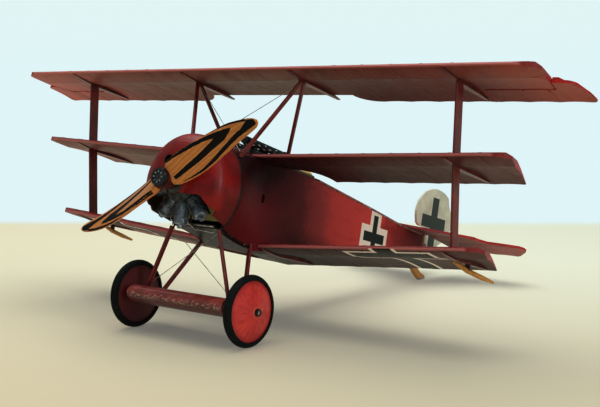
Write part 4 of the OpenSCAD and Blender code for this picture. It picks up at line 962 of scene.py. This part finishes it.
def tape(tree, path, height, way, columns=5):
    """A raised tape along a path of points, cast onto the surface.

    Returns its unbroken stretches as grids. The way is the one in which the rays fall.
    """
    runs, run = [], []
    for point in path:
        line = []
        for j in range(columns):
            t = 2 * j / (columns - 1) - 1
            found = touch(tree, Vector(point) + Vector((TAPE_WIDTH * t / 2, 0, 0)), way)
            if found is None:
                line = None
                break
            line.append((*found, height * (1 - t * t) + TAPE_RIM))
        if line and run and (line[2][0] - run[-1][2][0]).length > TAPE_BREAK * MM:
            runs.append(run)
            run = []
        if line:
            run.append(line)
        elif run:
            runs.append(run)
            run = []
    runs.append(run)
    return [r for r in runs if len(r) > 2]


def rib_places(node):
    """Span positions of the ribs: where a scalloped trailing edge stands furthest back."""
    points = aero_points(node)
    back = max(p.y for p in points)
    return sorted({round(p.x, 1) for p in points if p.y > back - 0.05})


def rib_tapes(node, material, body):
    """Tapes over the ribs of one panel, above and below."""
    low, high = aero_box(node)
    tree = tree_of(node)
    places = rib_places(node)
    kept = [x for i, x in enumerate(places) if i == 0 or x - places[i - 1] > RIB_APART]
    count = max(6, int((high.y - low.y) / TAPE_STEP))
    length = high.y - low.y - 2 * TAPE_MARGIN
    path_y = [low.y + TAPE_MARGIN + length * i / count for i in range(count + 1)]
    grids = []
    for x in kept:
        if x - low.x < TAPE_FROM_TIP or high.x - x < TAPE_FROM_TIP:
            continue
        path = [(x, y, (low.z + high.z) / 2) for y in path_y]
        grids += tape(tree, path, TAPE_RISE, (0, 0, -1))
        grids += tape(tree, path, TAPE_RISE_BELOW, (0, 0, 1))
    if grids:
        padded_grids(grids, node + "_rib_tapes", material, body)


rib_tapes("upper_wing", UPPER_SKIN, "airframe")
for wing, paint in (("middle_wing_", MIDDLE_SKIN), ("lower_wing_", LOWER_SKIN)):
    for side in ("port", "starboard"):
        rib_tapes(wing + side, paint, "airframe")
for side in ("port", "starboard"):
    rib_tapes("aileron_" + side, UPPER_SKIN, "aileron_" + side)


# ---- black bands painted on the propeller
blade_tree = tree_of("propeller")
tip = max(aero_points("propeller"), key=lambda p: math.hypot(p.x, p.z))
BLADE_R = math.hypot(tip.x, tip.z)
BLADE_ANGLE = math.atan2(tip.z, tip.x)
BLADE_Y = 3.5                # rays look for the blade around this depth behind the hub's front
PAINT_LIFT = 0.03            # height of the painted bands above the blade
PAINT_SINK = 0.02            # and their depth in it


def blade_point(sign, r, v):
    """A point at a radius along one blade and a distance across it."""
    c, s = math.cos(BLADE_ANGLE) * sign, math.sin(BLADE_ANGLE) * sign
    return (r * c - v * s, BLADE_Y, r * s + v * c)


def blade_edges(sign, r):
    """How far the front face reaches each way from the blade's axis, to an eighth of a millimetre."""
    tries = [v / 8 for v in range(-64, 65)]
    found = [v for v in tries if touch(blade_tree, blade_point(sign, r, v), (0, 1, 0))]
    return min(found), max(found)


def between(t, stops):
    """Piecewise linear value at t, and the last stop's beyond it."""
    for (ta, va), (tb, vb) in zip(stops, stops[1:]):
        if t <= tb:
            return va + (vb - va) * max(0.0, (t - ta) / (tb - ta))
    return stops[-1][1]


def blade_band(sign, t0, t1, inner, outer, steps=60, columns=6):
    """A painted band from one fraction of the radius to another, between two edges."""
    grid = []
    for i in range(steps + 1):
        t = t0 + (t1 - t0) * i / steps
        r = t * BLADE_R
        low, high = blade_edges(sign, r)
        a, b = between(t, inner), between(t, outer)
        line = []
        for j in range(columns + 1):
            q = a + (b - a) * j / columns
            v = (low + high) / 2 + (high - low) / 2 * q
            found = touch(blade_tree, blade_point(sign, r, v), (0, 1, 0))
            if found is None:
                break
            line.append((*found, PAINT_LIFT))
        if len(line) == columns + 1:
            grid.append(line)
    return grid


# Edges of the bands: fractions of the half chord at fractions of the radius
LEAF_LOW = [(0.105, -0.38), (0.25, -0.13), (0.4, 0.04), (0.55, 0.27), (0.575, 0.36)]
LEAF_HIGH = [(0.105, 0.70), (0.2, 0.66), (0.335, 0.62), (0.47, 0.57), (0.553, 0.43), (0.575, 0.36)]
ARROW_LOW = [(0.105, -0.64), (0.23, -0.46), (0.378, -0.36), (0.53, -0.25), (0.66, -0.16), (0.73, 0.14),
             (0.76, 0.43)]
ARROW_HIGH = [(0.105, 0.97), (0.335, 0.93), (0.47, 0.83), (0.553, 0.76), (0.66, 0.63), (0.76, 0.44)]
LINE_IN = [(0.15, -0.90), (0.33, -0.84), (0.49, -0.71), (0.69, -0.43), (0.84, -0.09), (0.91, 0.52)]
LINE_OUT = [(0.15, -0.93), (0.33, -0.965), (0.49, -0.94), (0.69, -0.77), (0.84, -0.67), (0.985, -0.58)]
LINE_TOP = [(0.5, 0.96), (0.6, 0.89), (0.7, 0.79), (0.85, 0.68), (0.91, 0.56)]
REAR_EDGE = [(0.5, 0.97)]
TIP_EDGE = [(0.91, 0.95)]
# First and last fraction of the radius, and the band's two edges
BANDS = [(0.105, 0.575, ARROW_LOW, LEAF_LOW), (0.105, 0.575, LEAF_HIGH, ARROW_HIGH),
         (0.575, 0.76, ARROW_LOW, ARROW_HIGH), (0.15, 0.91, LINE_OUT, LINE_IN),
         (0.5, 0.91, LINE_TOP, REAR_EDGE), (0.91, 0.985, LINE_OUT, TIP_EDGE)]
stripe_paint = strut_paint("propeller_black", srgb(10, 10, 12), srgb(6, 6, 7), srgb(34, 28, 24), 0.2, 0.55,
                           0.15)
stripes = []
for sign in (1, -1):
    for t0, t1, inner, outer in BANDS:
        grid = blade_band(sign, t0, t1, inner, outer)
        if len(grid) > 2:
            stripes.append(grid)
padded_grids(stripes, "propeller_bands", stripe_paint, "engine", PAINT_SINK)


# ---- small stuffed leather pad on the decking behind the pilot's head
PAD_AT = Vector((0, 69.2, 13.5))
PAD_HALF = Vector((2.9, 2.1, 1.7))
PAD_RINGS = 16
PAD_SIDES = 28


def squared(t, power):
    """A point of a circle drawn out towards the corners of its square."""
    c, s = math.cos(t), math.sin(t)
    return math.copysign(abs(c) ** power, c), math.copysign(abs(s) ** power, s)


def head_pad():
    """A stuffed cushion with a shallow seam round its middle."""
    bm = bmesh.new()
    lines = []
    for i in range(1, PAD_RINGS):
        up, out = math.sin(math.pi * (i / PAD_RINGS - 0.5)), math.cos(math.pi * (i / PAD_RINGS - 0.5))
        swell = out ** 0.7 * (1 - 0.05 * math.exp(-((i / PAD_RINGS - 0.5) * 16) ** 2))
        line = []
        for k in range(PAD_SIDES):
            a, b = squared(2 * math.pi * k / PAD_SIDES, 0.72)
            line.append(bm.verts.new(row(PAD_AT.x + PAD_HALF.x * a * swell, PAD_AT.y + PAD_HALF.y * b * swell,
                                         PAD_AT.z + PAD_HALF.z * up)))
        lines.append(line)
    for low, high in zip(lines, lines[1:]):
        for k in range(PAD_SIDES):
            n = (k + 1) % PAD_SIDES
            bm.faces.new((low[k], low[n], high[n], high[k]))
    foot = bm.verts.new(row(PAD_AT.x, PAD_AT.y, PAD_AT.z - PAD_HALF.z))
    crown = bm.verts.new(row(PAD_AT.x, PAD_AT.y, PAD_AT.z + PAD_HALF.z * 0.98))
    for k in range(PAD_SIDES):
        n = (k + 1) % PAD_SIDES
        bm.faces.new((foot, lines[0][n], lines[0][k]))
        bm.faces.new((crown, lines[-1][k], lines[-1][n]))
    p = Paint("tan_leather", specular=0.35)
    creases = p.creases(1.5)
    tone = p.clouds(0.6, 4, 0.3, 0.7, srgb(206, 176, 86), srgb(168, 134, 58))
    p.base(p.tint(tone, p.step(creases, 0.1, 0.0), 0.4, srgb(110, 80, 34)))
    p.bump(p.step(creases, 0.0, 0.2), 0.06, 0.6)
    pad = finished(bm, "head_pad", p.material, "airframe")


head_pad()


# ---- doped seam along the top longerons of the fuselage
SEAM_R = 0.3                 # radius of a seam
SEAM_STEP = 1.5              # least distance between two points of a seam


def tube(points, name, material, body, sides=8):
    """A round seam along a path, closed at both ends."""
    bm = bmesh.new()
    rings = []
    for i, p in enumerate(points):
        way = (points[min(i + 1, len(points) - 1)] - points[max(i - 1, 0)]).normalized()
        u = way.orthogonal().normalized()
        w = way.cross(u)
        ring = []
        for k in range(sides):
            a = 2 * math.pi * k / sides
            ring.append(bm.verts.new(p + (u * math.cos(a) + w * math.sin(a)) * SEAM_R * MM))
        rings.append(ring)
    for a, b in zip(rings, rings[1:]):
        for k in range(sides):
            bm.faces.new((a[k], a[(k + 1) % sides], b[(k + 1) % sides], b[k]))
    bm.faces.new(rings[0][::-1])
    bm.faces.new(rings[-1])
    return finished(bm, name, material, body)


def top_edge(node):
    """Highest points of a fuselage side from the cockpit aft, in the row frame."""
    best = {}
    for place in aero_points(node):
        key = round(place.y, 1)
        if key not in best or (place.z, abs(place.x)) > (best[key].z, abs(best[key].x)):
            best[key] = place
    cockpit_end = aero_box("seat_bulkhead")[1].y
    back = [best[k] for k in sorted(best) if k > cockpit_end]
    spread = [back[0]]
    for place in back[1:]:
        if place.y - spread[-1].y > SEAM_STEP:
            spread.append(place)
    return [row(*place) for place in spread]


seam_paint = strut_paint("seam_grey", srgb(150, 118, 114), srgb(98, 62, 60), srgb(206, 182, 176), 0.6, 0.6,
                         0.2)
for hand in ("port", "starboard"):
    tube(top_edge("fuselage_side_" + hand), "top_seam_" + hand, seam_paint, "airframe")
